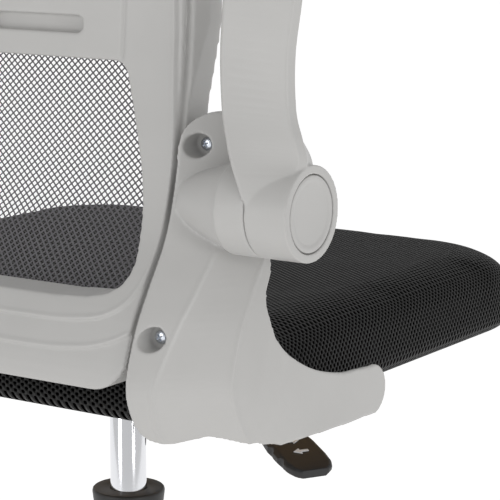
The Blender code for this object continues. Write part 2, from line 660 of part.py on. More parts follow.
def make_bracket(side, word):
    skin = bracket_volume(side, 0.0, 0.180, 0.385, 0.625)
    hollow = bracket_volume(side, WALL_T, 0.170, 0.375, 0.635)
    for _, z in SCREW_HEIGHTS:
        rear = back_y(z) - 0.0254
        cut(hollow, cylinder((side * SCREW_X, rear, z), (side * SCREW_X, rear + 0.05, z), 0.0100, sides=16))
    foot = box((min(side * FOOT_INNER_X, side * FOOT_OUTER_X), FOOT_FRONT, FOOT_LOW),
               (max(side * FOOT_INNER_X, side * FOOT_OUTER_X), FOOT_REAR, FOOT_TOP))
    cut(skin, evaluated(hollow))
    combine(skin, prism(bracket_side_outline(), "X", -0.35, 0.35), "INTERSECT")
    combine(skin, prism(bracket_rear_outline(side), "Y", -0.1, 0.5), "INTERSECT")
    join(skin, cylinder((side * 0.222, HINGE_Y, HINGE_Z), (side * (SEAM_X - GAP), HINGE_Y, HINGE_Z),
                        BOSS_R, sides=COLUMN_STEPS))
    join(skin, foot)
    cut(skin, cylinder((side * 0.20, HINGE_Y, HINGE_Z), (side * 0.28, HINGE_Y, HINGE_Z), BOLT_R + GAP,
                       sides=16))
    for _, z in SCREW_HEIGHTS:
        floor = back_y(z) - 0.0205
        cut(skin, cylinder((side * SCREW_X, floor, z), (side * SCREW_X, floor + 0.05, z), SCREW_BORE_R,
                           sides=20))
        cut(skin, cylinder((side * SCREW_X, floor - 0.02, z), (side * SCREW_X, floor + 0.01, z),
                           SCREW_R + GAP, sides=10))
    finish(skin, f"bracket_{word}", GREY)

    for height, z in SCREW_HEIGHTS:
        floor = back_y(z) - 0.0205
        screw = cylinder((0, 0, GAP), (0, 0, 0.0027), SCREW_HEAD_R, SCREW_HEAD_R - 0.0008, 14)
        join(screw, cylinder((0, 0, -0.0135), (0, 0, 0.001), SCREW_R, sides=8))
        screw = evaluated(screw)
        screw.rotation_euler = (math.radians(-90), 0, 0)
        screw.location = (side * SCREW_X, floor, z)
        finish(screw, f"bracket_screw_{word}_{height}", STEEL)


# ---------------------------------------------------------------- arms
ARM_STATIONS = (
    # height, inner x, outer x, front y, rear y inside, rear y outside, how far the front draws in
    (0.5520, 0.2602, 0.2640, 0.1850, 0.2252, 0.2250, 0.001),
    (0.5620, 0.2580, 0.2720, 0.1760, 0.2248, 0.2225, 0.002),
    (0.5760, 0.2521, 0.2850, 0.1720, 0.2238, 0.2140, 0.006),
    (0.5860, 0.2478, 0.2905, 0.1710, 0.2228, 0.2075, 0.012),
    (0.6000, 0.2427, 0.2880, 0.1710, 0.2205, 0.2075, 0.018),
    (0.6180, 0.2374, 0.2825, 0.1720, 0.2170, 0.2065, 0.020),
    (0.6500, 0.2328, 0.2805, 0.1740, 0.2120, 0.2045, 0.017),
    (0.6840, 0.2325, 0.2845, 0.1750, 0.2085, 0.2035, 0.012),
    (0.7100, 0.2325, 0.2885, 0.1755, 0.2070, 0.2050, 0.010),
    (0.7300, 0.2325, 0.2925, 0.1760, 0.2070, 0.2070, 0.010),
    (0.8500, 0.2325, 0.2925, 0.1760, 0.2070, 0.2070, 0.010),
    (0.8680, 0.2380, 0.2870, 0.1790, 0.2060, 0.2060, 0.010),
)


def make_arm(side, word):
    rings = []
    for z, inner, outer, front, rear_in, rear_out, draw in ARM_STATIONS:
        near_x, far_x = inner + 0.25 * draw, outer - draw
        c = min(0.006, 0.3 * (far_x - near_x))
        ring = ((near_x, front + c), (near_x + c, front), (far_x - c, front), (far_x, front + c),
                (outer, rear_out - c), (outer - 0.5 * c, rear_out), (inner + 0.5 * c, rear_in),
                (inner, rear_in - 0.5 * c))
        rings.append([(side * x, y, z) for x, y in ring])
    arm = loft(rings)
    hinge = Vector((0, HINGE_Y, HINGE_Z))
    near, far = Vector((side * SEAM_X, 0, 0)), Vector((side * HUB_END_X, 0, 0))
    out = Vector((side, 0, 0))
    cut(arm, cylinder(hinge + near - out * 0.04, hinge + near, BOSS_R + 0.0006, sides=COLUMN_STEPS))
    join(arm, cylinder(hinge + near, hinge + far, BOSS_R, sides=COLUMN_STEPS))
    cut(arm, cylinder(hinge + near - out * 0.01, hinge + far, BOLT_R + RUN, sides=16))
    cut(arm, cylinder(hinge + far - out * 0.0035, hinge + far + out * 0.01, CAP_R + GAP, sides=28))
    cut(arm, cylinder(hinge + far - out * 0.0085, hinge + far + out * 0.01, 0.0110, sides=16))
    arm = evaluated(arm)
    finish(arm, f"arm_{word}", GREY)
    move_origin(arm, hinge + near)

    cap = cylinder(hinge + far - out * 0.0032, hinge + far - out * 0.0004, CAP_R, sides=28)
    finish(cap, f"arm_cap_{word}", GREY)
    bolt = cylinder(hinge + out * 0.2245, hinge + far - out * 0.0065, BOLT_R, sides=16)
    join(bolt, cylinder(hinge + far - out * 0.0080, hinge + far - out * 0.0042, 0.0100, sides=16))
    finish(evaluated(bolt), f"pivot_bolt_{word}", STEEL)

    layers = ((0.2083, 0.0), (0.2165, 0.0), (0.2210, 0.003), (0.2225, 0.009))
    rings = []
    for y, draw in layers:
        outline = rounded_outline((0.2355 + draw, 0.700 + draw), (0.2895 - draw, 0.862 - draw), 0.018)
        rings.append([(side * x, y, z) for x, z in outline])
    pad = loft(rings)
    finish(pad, f"arm_pad_{word}", SOFT_PAD)


# ---------------------------------------------------------------- build
make_star_base()
for castor_index in range(CASTOR_COUNT):
    make_castor(castor_index)
make_column()
make_housing()
make_tension()
make_lever()
make_seat()
make_back_frame()
for arm_side, side_word in ((-1, "right"), (1, "left")):
    make_bracket(arm_side, side_word)
    make_arm(arm_side, side_word)
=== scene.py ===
# %% [markdown]
# # Mesh-back swivel chair with flip-up arms
# This notebook dresses a finished CAD model of the chair. The CAD fixes every size and
# every joint, and here each visible piece gets its rounded, moulded or woven surface.

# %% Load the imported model
import math
import bmesh
import bpy
import numpy as np
from mathutils import Matrix, Vector


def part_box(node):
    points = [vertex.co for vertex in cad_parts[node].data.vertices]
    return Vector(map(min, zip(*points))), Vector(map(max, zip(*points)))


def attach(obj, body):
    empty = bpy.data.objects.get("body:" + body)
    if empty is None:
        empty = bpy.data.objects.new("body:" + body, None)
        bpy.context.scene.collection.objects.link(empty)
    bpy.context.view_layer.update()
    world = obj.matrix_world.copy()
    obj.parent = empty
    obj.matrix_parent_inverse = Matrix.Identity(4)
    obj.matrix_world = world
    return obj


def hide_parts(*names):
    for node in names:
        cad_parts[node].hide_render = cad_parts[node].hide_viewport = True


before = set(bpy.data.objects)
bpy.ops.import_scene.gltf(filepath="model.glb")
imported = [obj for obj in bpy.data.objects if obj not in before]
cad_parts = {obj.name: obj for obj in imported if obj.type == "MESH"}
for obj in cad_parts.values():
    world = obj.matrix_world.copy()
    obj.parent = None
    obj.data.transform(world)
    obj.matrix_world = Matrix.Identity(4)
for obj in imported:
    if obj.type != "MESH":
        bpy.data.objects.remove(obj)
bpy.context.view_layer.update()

# %% [markdown]
# Blender's operators act on whatever is selected, so two helpers come before any piece.
# One selects a single object, and the other adds a modifier and applies it at once.

# %% Selecting and applying
def pick(obj):
    """Select one object and nothing else."""
    bpy.ops.object.select_all(action="DESELECT")
    obj.select_set(True)
    bpy.context.view_layer.objects.active = obj
    return obj


def place_new(name, data):
    """Put a mesh, a lamp or a camera into the scene as a new object."""
    obj = bpy.data.objects.new(name, data)
    bpy.context.scene.collection.objects.link(obj)
    return obj


def shape(obj, kind, **settings):
    """Add one modifier, set it and apply it."""
    pick(obj)
    mod = obj.modifiers.new(kind.title(), kind)
    for key, value in settings.items():
        setattr(mod, key, value)
    bpy.ops.object.modifier_apply(modifier=mod.name)
    return obj


def read_points(obj):
    co = np.empty(3 * len(obj.data.vertices))
    obj.data.vertices.foreach_get("co", co)
    return co.reshape(-1, 3)


def write_points(obj, co):
    obj.data.vertices.foreach_set("co", co.reshape(-1))
    obj.data.update()


def bake_place(obj):
    """Put the object's place, turn and size into its mesh."""
    pick(obj)
    bpy.ops.object.transform_apply(location=True, rotation=True, scale=True)
    return obj


def tidy_normals(obj):
    """Merge doubled points and point every face outwards."""
    pick(obj)
    bpy.ops.object.mode_set(mode="EDIT")
    bpy.ops.mesh.select_all(action="SELECT")
    bpy.ops.mesh.remove_doubles(threshold=0.00002)
    bpy.ops.mesh.normals_make_consistent(inside=False)
    bpy.ops.object.mode_set(mode="OBJECT")
    return obj


def join_in(obj, *others):
    for other in others:
        shape(obj, "BOOLEAN", operation="UNION", object=other, solver="EXACT")
        bpy.data.objects.remove(other, do_unlink=True)
    return obj


def cut_out(obj, *others, operation="DIFFERENCE"):
    for other in others:
        shape(obj, "BOOLEAN", operation=operation, object=other, solver="EXACT")
        bpy.data.objects.remove(other, do_unlink=True)
    return obj


# %% [markdown]
# Most of this chair is moulded nylon, and moulded nylon has no sharp corners: every edge
# carries a small radius from the mould. Bevelling each edge of a Boolean solid is fragile.
# A voxel remesh with a few smoothing passes rounds all the edges together, so the solids
# below may be built from plain sharp shapes first.

# %% Rounding a moulded solid
def thin_out(obj, most=185000):
    shape(obj, "DECIMATE", ratio=min(1.0, most / (2 * len(obj.data.polygons))))


def mould(obj, voxel, passes, most=190000):
    """Remesh a solid finely, smooth its edges, and keep it under a triangle count."""
    shape(obj, "REMESH", mode="VOXEL", voxel_size=voxel, use_smooth_shade=True)
    shape(obj, "SMOOTH", factor=0.5, iterations=passes)
    triangles = 2 * len(obj.data.polygons)
    if triangles > most:
        shape(obj, "DECIMATE", ratio=most / triangles)
    pick(obj)
    bpy.ops.object.shade_smooth()
    print(obj.name, len(obj.data.polygons), "faces")
    return obj


# %% [markdown]
# Four kinds of starting solid are enough: a cylinder between two points, a slab from a
# drawn outline, a turned profile, and a skin drawn over a row of rings.

# %% Starting solids
def rod(start, end, radius, end_radius=None, sides=64):
    """A cylinder or cone between two points."""
    start, end = Vector(start), Vector(end)
    bpy.ops.object.select_all(action="DESELECT")
    bpy.ops.mesh.primitive_cone_add(vertices=sides, radius1=radius, depth=(end - start).length,
                                    radius2=radius if end_radius is None else end_radius,
                                    location=(start + end) / 2,
                                    rotation=(end - start).to_track_quat("Z", "Y").to_euler())
    return bake_place(bpy.context.active_object)


def block(low, high):
    """A cuboid between two corners."""
    low, high = Vector(low), Vector(high)
    bpy.ops.object.select_all(action="DESELECT")
    bpy.ops.mesh.primitive_cube_add(size=1.0, location=(low + high) / 2)
    bpy.context.active_object.scale = high - low
    return bake_place(bpy.context.active_object)


def slab(outline, axis, low, high):
    """A drawn outline made thick along X, Y or Z: a filled ring, moved into place and extruded."""
    bpy.ops.object.select_all(action="DESELECT")
    bpy.ops.mesh.primitive_circle_add(vertices=len(outline), radius=1.0, fill_type="NGON")
    obj = bpy.context.active_object
    k = "XYZ".index(axis)
    for point, (a, b) in zip(obj.data.vertices, outline):
        place = [a, b]
        place.insert(k, low)
        point.co = place
    move = [0.0, 0.0, 0.0]
    move[k] = high - low
    bpy.ops.object.mode_set(mode="EDIT")
    bpy.ops.mesh.select_all(action="SELECT")
    bpy.ops.mesh.extrude_region_move(TRANSFORM_OT_translate={"value": move})
    bpy.ops.mesh.select_all(action="SELECT")
    bpy.ops.mesh.normals_make_consistent(inside=False)
    bpy.ops.object.mode_set(mode="OBJECT")
    return obj


def turned(name, profile, steps=96):
    """Spin a closed profile of (radius, height) points about Z."""
    mesh = bpy.data.meshes.new(name)
    count = len(profile)
    mesh.from_pydata([(r, 0, z) for r, z in profile], [(i, (i + 1) % count) for i in range(count)], [])
    obj = pick(place_new(name, mesh))
    bpy.ops.object.mode_set(mode="EDIT")
    bpy.ops.mesh.select_all(action="SELECT")
    bpy.ops.mesh.spin(steps=steps, angle=2 * math.pi, center=(0, 0, 0), axis=(0, 0, 1))
    bpy.ops.object.mode_set(mode="OBJECT")
    tidy_normals(obj)
    bpy.ops.object.shade_smooth_by_angle(angle=math.radians(35))
    return obj


def skin_over(rings, looped=False):
    """A skin over rings with the same number of points, capped or joined end to end."""
    bm = bmesh.new()
    rows = [[bm.verts.new(p) for p in ring] for ring in rings]
    for lower, upper in zip(rows, rows[1:] + (rows[:1] if looped else [])):
        for i in range(len(lower)):
            j = (i + 1) % len(lower)
            bm.faces.new((lower[i], lower[j], upper[j], upper[i]))
    if not looped:
        bm.faces.new(rows[0])
        bm.faces.new(rows[-1])
    bmesh.ops.recalc_face_normals(bm, faces=bm.faces)
    mesh = bpy.data.meshes.new("skin")
    bm.to_mesh(mesh)
    bm.free()
    return place_new("skin", mesh)


# %% Drawing outlines
def arc(centre, radius, start_deg, end_deg, steps=10):
    angles = np.radians(np.linspace(start_deg, end_deg, steps + 1))
    return [(centre[0] + radius * math.cos(a), centre[1] + radius * math.sin(a)) for a in angles]


def round_rectangle(low, high, radius, steps=8):
    (x0, y0), (x1, y1) = low, high
    corners = (((x1 - radius, y0 + radius), -90), ((x1 - radius, y1 - radius), 0),
               ((x0 + radius, y1 - radius), 90), ((x0 + radius, y0 + radius), 180))
    return [p for centre, a in corners for p in arc(centre, radius, a, a + 90, steps)]


def through(points, steps=8):
    """A smooth Catmull-Rom curve through the given points."""
    pts = [np.array(p, float) for p in points]
    pts = [2 * pts[0] - pts[1]] + pts + [2 * pts[-1] - pts[-2]]
    out = []
    for a, b, c, d in zip(pts, pts[1:], pts[2:], pts[3:]):
        for t in np.arange(steps) / steps:
            out.append(0.5 * (2 * b + (c - a) * t + (2 * a - 5 * b + 4 * c - d) * t ** 2
                              + (3 * b - a - 3 * c + d) * t ** 3))
    return out + [pts[-2]]


# %% [markdown]
# The colours are written as hex values in sRGB, the way a paint chart gives them, while
# Blender's shaders work in linear light, so one function converts them. One more function
# adds a shader node with its settings and its links, which keeps each material readable.

# %% Colour and node helpers
def linear(code):
    channels = [int(code[k:k + 2], 16) / 255 for k in (0, 2, 4)]
    return tuple(c / 12.92 if c <= 0.04045 else ((c + 0.055) / 1.055) ** 2.4 for c in channels) + (1.0,)


def put(tree, kind, settings=None, links=None):
    """Add one node: settings go to its sockets or its properties, links go into its sockets."""
    node = tree.nodes.new(kind)
    for key, value in (settings or {}).items():
        if isinstance(key, int) or (key in node.inputs and not hasattr(node, key)):
            node.inputs[key].default_value = value
        else:
            setattr(node, key, value)
    for key, source in (links or {}).items():
        tree.links.new(source, node.inputs[key])
    return node


def blank(name, **surface):
    """A material with a Principled shader whose fixed values sit on its own sockets."""
    mat = bpy.data.materials.new(name)
    mat.use_nodes = True
    shader = mat.node_tree.nodes["Principled BSDF"]
    for key, value in surface.items():
        shader.inputs[key.replace("_", " ")].default_value = value
    return mat, mat.node_tree, shader


MM = 0.001


def grain(tree, shader, coords, size_mm, depth_mm, detail=3.0):
    """Fine surface grain as a bump: noise whose lumps are size_mm across."""
    noise = put(tree, "ShaderNodeTexNoise", {"Scale": 1.0 / (size_mm * MM), "Detail": detail},
                {"Vector": coords})
    bump = put(tree, "ShaderNodeBump", {"Strength": 1.0, "Distance": depth_mm * MM},
               {"Height": noise.outputs["Fac"]})
    tree.links.new(bump.outputs["Normal"], shader.inputs["Normal"])


def mottled(tree, shader, coords, size_mm, light, dark):
    """Slow colour variation between two close colours."""
    noise = put(tree, "ShaderNodeTexNoise", {"Scale": 1.0 / (size_mm * MM), "Detail": 4.0},
                {"Vector": coords})
    mix = put(tree, "ShaderNodeMix", {"data_type": "RGBA"}, {0: noise.outputs["Fac"]})
    mix.inputs[6].default_value, mix.inputs[7].default_value = linear(dark), linear(light)
    tree.links.new(mix.outputs[2], shader.inputs["Base Color"])


# %% [markdown]
# The light grey parts are glass-filled nylon from a spark-eroded mould. That leaves a
# satin skin with a very fine grain of about 0.1 mm, and faint cloudy marks where the melt
# flowed. The grain is drawn at 0.9 mm, since the real one is too fine to show.

# %% Moulded grey nylon
def moulded_nylon(name, light, dark, roughness):
    mat, tree, shader = blank(name, Roughness=roughness, IOR=1.53)
    coords = put(tree, "ShaderNodeTexCoord").outputs["Object"]
    mottled(tree, shader, coords, 45.0, light, dark)
    grain(tree, shader, coords, 0.9, 0.02)
    return mat


grey_nylon = moulded_nylon("moulded_grey_nylon", "B5B4B2", "ADACAA", 0.42)
black_nylon = moulded_nylon("moulded_black_nylon", "151516", "101011", 0.5)
print("nylon:", grey_nylon.name, black_nylon.name)

# %% [markdown]
# The column is hard chrome over ground steel: a near mirror with faint grinding rings.
# The small hardware is zinc plated and a little duller, and the mechanism is pressed steel
# under black powder coat, whose orange-peel texture is about 1.5 mm across.

# %% Metals
def plated(name, colour, roughness, ring_mm, depth_mm):
    mat, tree, shader = blank(name, Metallic=1.0, Roughness=roughness, Base_Color=linear(colour))
    coords = put(tree, "ShaderNodeTexCoord").outputs["Object"]
    stretch = put(tree, "ShaderNodeMapping", {"Scale": (8.0, 8.0, 1.0 / (ring_mm * MM))}, {"Vector": coords})
    noise = put(tree, "ShaderNodeTexNoise", {"Scale": 1.0, "Detail": 2.0},
                {"Vector": stretch.outputs["Vector"]})
    bump = put(tree, "ShaderNodeBump", {"Strength": 1.0, "Distance": depth_mm * MM},
               {"Height": noise.outputs["Fac"]})
    tree.links.new(bump.outputs["Normal"], shader.inputs["Normal"])
    spread = put(tree, "ShaderNodeMapRange", {"To Min": roughness * 0.8, "To Max": roughness * 1.3},
                 {"Value": noise.outputs["Fac"]})
    tree.links.new(spread.outputs["Result"], shader.inputs["Roughness"])
    return mat


hard_chrome = plated("hard_chrome", "E4E5E8", 0.10, 0.8, 0.002)
zinc_plate = plated("zinc_plated_steel", "D5DAE2", 0.22, 0.6, 0.004)

powder_black, tree, shader = blank("powder_coated_black_steel", Roughness=0.38, IOR=1.5)
coords = put(tree, "ShaderNodeTexCoord").outputs["Object"]
mottled(tree, shader, coords, 30.0, "202021", "171718")
grain(tree, shader, coords, 1.5, 0.05)
print("metals:", hard_chrome.name, zinc_plate.name, powder_black.name)

# %% [markdown]
# The seat board is birch plywood. Its edge shows plies of about 1.5 mm, its faces show
# long wavy grain. The edge pattern follows height and the face pattern follows length.

# %% Birch plywood
plywood, tree, shader = blank("birch_plywood", Roughness=0.62, IOR=1.5)
coords = put(tree, "ShaderNodeTexCoord").outputs["Object"]
long_grain = put(tree, "ShaderNodeMapping", {"Scale": (160.0, 14.0, 900.0)}, {"Vector": coords})
streaks = put(tree, "ShaderNodeTexNoise", {"Scale": 1.0, "Detail": 5.0, "Distortion": 0.6},
              {"Vector": long_grain.outputs["Vector"]})
wood = put(tree, "ShaderNodeMix", {"data_type": "RGBA"}, {0: streaks.outputs["Fac"]})
wood.inputs[6].default_value, wood.inputs[7].default_value = linear("B48A5E"), linear("DDBE92")
tree.links.new(wood.outputs[2], shader.inputs["Base Color"])
print("wood:", plywood.name)

# %% [markdown]
# The seat cover is a black spacer mesh: a knitted face full of small oval holes in
# staggered rows, 4.5 mm apart along the row and 3.3 mm from row to row. The holes are
# painted near black, darker than the threads: partly the dark foam behind them, partly
# painted shade inside each hole. Two crossed cosine waves give exactly such a staggered
# lattice. The cloth's own UV map carries it, in metres, so that it runs over the edges
# without sliding.

# %% Black spacer mesh
def staggered(tree, uv, pitch_u, pitch_v):
    """cos(u) times cos(v): high in the holes of a staggered lattice, low on the threads."""
    split = put(tree, "ShaderNodeSeparateXYZ", None, {"Vector": uv})
    waves = []
    for socket, pitch in (("X", pitch_u), ("Y", pitch_v)):
        turn = put(tree, "ShaderNodeMath", {"operation": "MULTIPLY", 1: 2 * math.pi / (pitch * MM)},
                   {0: split.outputs[socket]})
        waves.append(put(tree, "ShaderNodeMath", {"operation": "COSINE"}, {0: turn.outputs[0]}))
    return put(tree, "ShaderNodeMath", {"operation": "MULTIPLY"},
               {0: waves[0].outputs[0], 1: waves[1].outputs[0]}).outputs[0]


spacer_mesh, tree, shader = blank("black_spacer_mesh", Roughness=0.5, IOR=1.5)
uv = put(tree, "ShaderNodeUVMap", {"uv_map": "cloth"}).outputs["UV"]
lattice = staggered(tree, uv, 6.6, 4.5)
hole = put(tree, "ShaderNodeMapRange",
           {"interpolation_type": "SMOOTHSTEP", "From Min": 0.0, "From Max": 0.40}, {"Value": lattice})
yarn = put(tree, "ShaderNodeTexNoise", {"Scale": 900.0, "Detail": 2.0}, {"Vector": uv})
thread = put(tree, "ShaderNodeMix", {"data_type": "RGBA"}, {0: yarn.outputs["Fac"]})
thread.inputs[6].default_value, thread.inputs[7].default_value = linear("0B0B0B"), linear("1A1A19")
cloth = put(tree, "ShaderNodeMix", {"data_type": "RGBA"},
            {0: hole.outputs["Result"], 6: thread.outputs[2]})
# painted shade: the holes' near-black colour stands for the shade inside them, over the dark foam
cloth.inputs[7].default_value = linear("010101")
tree.links.new(cloth.outputs[2], shader.inputs["Base Color"])
gloss = put(tree, "ShaderNodeMapRange", {"To Min": 0.20, "To Max": 0.0}, {"Value": hole.outputs["Result"]})
tree.links.new(gloss.outputs["Result"], shader.inputs["Specular IOR Level"])
height = put(tree, "ShaderNodeMath", {"operation": "MULTIPLY", 1: -1.0}, {0: lattice})
bump = put(tree, "ShaderNodeBump", {"Strength": 1.0, "Distance": 0.9 * MM}, {"Height": height.outputs[0]})
tree.links.new(bump.outputs["Normal"], shader.inputs["Normal"])
print("cloth:", spacer_mesh.name)

# %% [markdown]
# The back net is knitted polyester thread, dark grey with a slight purple cast and a soft
# gloss. Its holes are real holes in the mesh, so its material only draws the twist of the
# thread. The arm pads are soft foam under a smooth grey skin with a finer grain.

# %% Net thread and pad skin
net_thread, tree, shader = blank("knitted_net_thread", Roughness=0.55, IOR=1.5, Sheen_Weight=0.2)
coords = put(tree, "ShaderNodeTexCoord").outputs["Object"]
mottled(tree, shader, coords, 1.2, "6A676B", "38363A")
grain(tree, shader, coords, 0.5, 0.10)

pad_skin, tree, shader = blank("soft_pad_skin", Roughness=0.58, IOR=1.48)
coords = put(tree, "ShaderNodeTexCoord").outputs["Object"]
mottled(tree, shader, coords, 30.0, "B3B3B2", "A8A8A7")
grain(tree, shader, coords, 1.6, 0.06)

print_ink = moulded_nylon("white_print_ink", "D9DADC", "CFD0D3", 0.5)
print("soft skins:", net_thread.name, pad_skin.name)


# %% Handing a piece over
def dress(obj, name, material, body, slot, *nodes):
    """Name a piece, give it its material and say what it rides on and stands for."""
    obj.name = name
    obj.data.name = name
    obj.data.materials.clear()
    obj.data.materials.append(material)
    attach(obj, body)
    if nodes:
        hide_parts(*nodes)
    return obj


# %% [markdown]
# ## Camera, floor and light
# The view is close, from behind the sitter's right side and a little above, through a long
# lens. A white floor that runs past the horizon and a white sky make the plain background.
# Two broad lamps, one behind the chair and one at its side, shape the plastic a little.

# %% Camera
camera_data = bpy.data.cameras.new("camera")
camera = place_new("camera", camera_data)
camera_data.lens, camera_data.sensor_width = 155.4, 36.0
camera_data.clip_end = 200.0
camera.location = (-0.979, 1.283, 0.774)
look = Vector((0.5497, -0.8149, -0.18395))
camera.rotation_euler = look.to_track_quat("-Z", "Y").to_euler()
bpy.context.scene.camera = camera
print("camera lens", camera_data.lens)

# %% Floor, sky and lamps
bpy.ops.object.select_all(action="DESELECT")
bpy.ops.mesh.primitive_plane_add(size=120.0, location=(0, 0, 0))
floor = bpy.context.active_object
floor.name = "studio_floor"
pale, tree, shader = blank("pale_floor", Roughness=0.9, Base_Color=linear("F6F6F6"))
shader.inputs["Emission Color"].default_value = (1.0, 1.0, 1.0, 1.0)
shader.inputs["Emission Strength"].default_value = 0.42
floor.data.materials.append(pale)

world = bpy.data.worlds.new("studio_sky")
world.use_nodes = True
world.node_tree.nodes["Background"].inputs["Color"].default_value = (1.0, 1.0, 1.0, 1.0)
world.node_tree.nodes["Background"].inputs["Strength"].default_value = 0.66
bpy.context.scene.world = world
bpy.context.scene.view_settings.view_transform = "Standard"


def lamp(name, place, aim, size, power):
    data = bpy.data.lights.new(name, "AREA")
    data.shape, data.size, data.energy = "SQUARE", size, power
    obj = place_new(name, data)
    obj.location = place
    obj.rotation_euler = (Vector(aim) - Vector(place)).to_track_quat("-Z", "Y").to_euler()
    obj.visible_camera = False
    return obj


lamp("key_lamp", (0.9, 3.6, 1.0), (-0.1, 0.1, 0.5), 1.2, 17.0)
lamp("side_lamp", (-3.0, 1.0, 0.9), (-0.1, 0.1, 0.5), 0.7, 13.0)
print("studio ready")

# %% [markdown]
# ## The back frame
# The back is one moulding: two stiles, a bottom rail, a lumbar plate and a top rail round
# two windows. Seen from the side it follows one S-shaped curve, so that curve is drawn
# first, and the frame is a band along it, cut to its outline and its windows.

# %% The curve of the back
BACK_CURVE = (
    (0.392, 0.2260), (0.412, 0.2420), (0.432, 0.2530), (0.450, 0.2555), (0.480, 0.2455),
    (0.504, 0.2318), (0.532, 0.2140), (0.560, 0.2040), (0.600, 0.1955), (0.640, 0.1895),
    (0.690, 0.1865), (0.760, 0.1920), (0.840, 0.2120), (0.920, 0.2460), (1.020, 0.3030))
curve = np.array(through(BACK_CURVE, 16))
FRAME_DEPTH, FRAME_LOW, FRAME_TOP = 0.030, 0.440, 1.006


def back_y(z):
    """Depth of the frame's rear face at a height, or at an array of heights."""
    return np.interp(z, curve[:, 0], curve[:, 1])


def band(front, rear, inner=-0.25, outer=0.25, rows=90):
    heights = np.linspace(FRAME_LOW - 0.015, FRAME_TOP + 0.009, rows + 1)
    outline = [(back_y(z) + rear, z) for z in heights]
    outline += [(back_y(z) + front, z) for z in heights[::-1]]
    return slab(outline, "X", inner, outer)


print("back at seat height:", round(float(back_y(0.47)), 4))


# %% Outlines of the frame and its windows
def mirrored(right_side):
    return list(right_side) + [(-x, z) for x, z in reversed(right_side)]


def frame_outline():
    side = arc((0.1625, 0.470), 0.030, -90, 0)
    side += [(0.1925, 0.616), (0.1985, 0.665), (0.1985, 0.760)]
    return mirrored(side + arc((0.118, 0.946), 0.060, 0, 90, 16))


def lower_window():
    return mirrored([(0.125, 0.4940), (0.150, 0.4955), (0.164, 0.4985), (0.1722, 0.5035), (0.1762, 0.5110),
                     (0.1765, 0.5180), (0.1736, 0.5332), (0.1704, 0.5524), (0.1660, 0.5720),
                     (0.1561, 0.6046), (0.1475, 0.6320), (0.1440, 0.6375), (0.1380, 0.6392)])


def upper_window():
    side = arc((0.136, 0.755), 0.020, -90, 0) + [(0.160, 0.820)]
    return mirrored(side + arc((0.105, 0.931), 0.045, 0, 90, 14))


SCREW_X, SCREW_HEIGHTS = 0.204, (("lower", 0.475), ("upper", 0.590))
SCREW_DEPTH, SCREW_BORE_R, SCREW_HOLE_R = 0.0160, 0.0075, 0.0024

# %% The frame's solid
back = band(-FRAME_DEPTH, 0.0)
cut_out(back, slab(frame_outline(), "Y", 0.0, 0.5), operation="INTERSECT")
cut_out(back, slab(lower_window(), "Y", 0.0, 0.5), slab(upper_window(), "Y", 0.0, 0.5))
cut_out(back, band(-0.0068, 0.02, 0.1895, 0.25), band(-0.0068, 0.02, -0.25, -0.1895))
for side in (-1, 1):
    for _, z in SCREW_HEIGHTS:
        rear = float(back_y(z)) - 0.0258
        low, high = sorted((side * 0.1870, side * 0.2165))
        join_in(back, block((low, rear - 0.0125, z - 0.011), (high, rear, z + 0.011)))
    low, high = sorted((side * 0.034, side * 0.110))
    slot = round_rectangle((low, 0.6555), (high, 0.6665), 0.0054)
    cut_out(back, slab(slot, "Y", float(back_y(0.661)) - 0.006, 0.5))
    # the stile's outer side slopes away to the front
    slopes = [[(side * 0.1892, float(back_y(z)), z), (side * 0.2300, float(back_y(z)) + 0.02, z),
               (side * 0.2300, float(back_y(z)) - 0.070, z)] for z in np.linspace(0.614, 1.02, 40)]
    cut_out(back, skin_over(slopes))
print("frame solid faces:", len(back.data.polygons))


# %% [markdown]
# The rear face is not plain. One ridge runs round the whole back, just outside the windows,
# with a thin line beside it on each stile. Another crosses the bottom rail, and a groove
# divides the lumbar plate from each stile. They are pressed into the fine mesh as small
# steps, at a distance from a drawn line.

# %% Lines of the rear face
RIDGE = mirrored([tuple(p) for p in through(
    [(0.040, 0.4800), (0.100, 0.4800), (0.1344, 0.4807), (0.1600, 0.4838), (0.1740, 0.4892),
     (0.1830, 0.4972), (0.1880, 0.5080), (0.1902, 0.5240), (0.1908, 0.5450), (0.1904, 0.5739),
     (0.1885, 0.5969), (0.1851, 0.6298), (0.1832, 0.6779), (0.1812, 0.7600), (0.1720, 0.9000),
     (0.1500, 0.9750), (0.1100, 0.9920)], 8)])
RAIL_LINE = through([(-0.02, 0.4625), (0.060, 0.4625), (0.1150, 0.4626), (0.1389, 0.4636), (0.1600, 0.4664),
                     (0.1744, 0.4705), (0.1860, 0.4758), (0.1980, 0.4830)], 8)


def beyond(outline, points):
    """Distance from each point to a closed outline: positive outside it, negative inside."""
    loop = np.array(outline)
    best, inner = np.full(len(points), 9.0), np.zeros(len(points), bool)
    for a, b in zip(loop, np.roll(loop, -1, axis=0)):
        run = b - a
        t = np.clip(((points - a) @ run) / max(run @ run, 1e-12), 0, 1)
        best = np.minimum(best, np.linalg.norm(points - a - t[:, None] * run, axis=1))
        if a[1] != b[1]:
            crosses = (a[1] > points[:, 1]) != (b[1] > points[:, 1])
            inner ^= crosses & (points[:, 0] < a[0] + run[0] * (points[:, 1] - a[1]) / run[1])
    return np.where(inner, -best, best)


def step(x, low, high):
    t = np.clip((x - low) / (high - low), 0, 1)
    return t * t * (3 - 2 * t)


def hump(x, middle, width):
    return np.exp(-((x - middle) / width) ** 2)


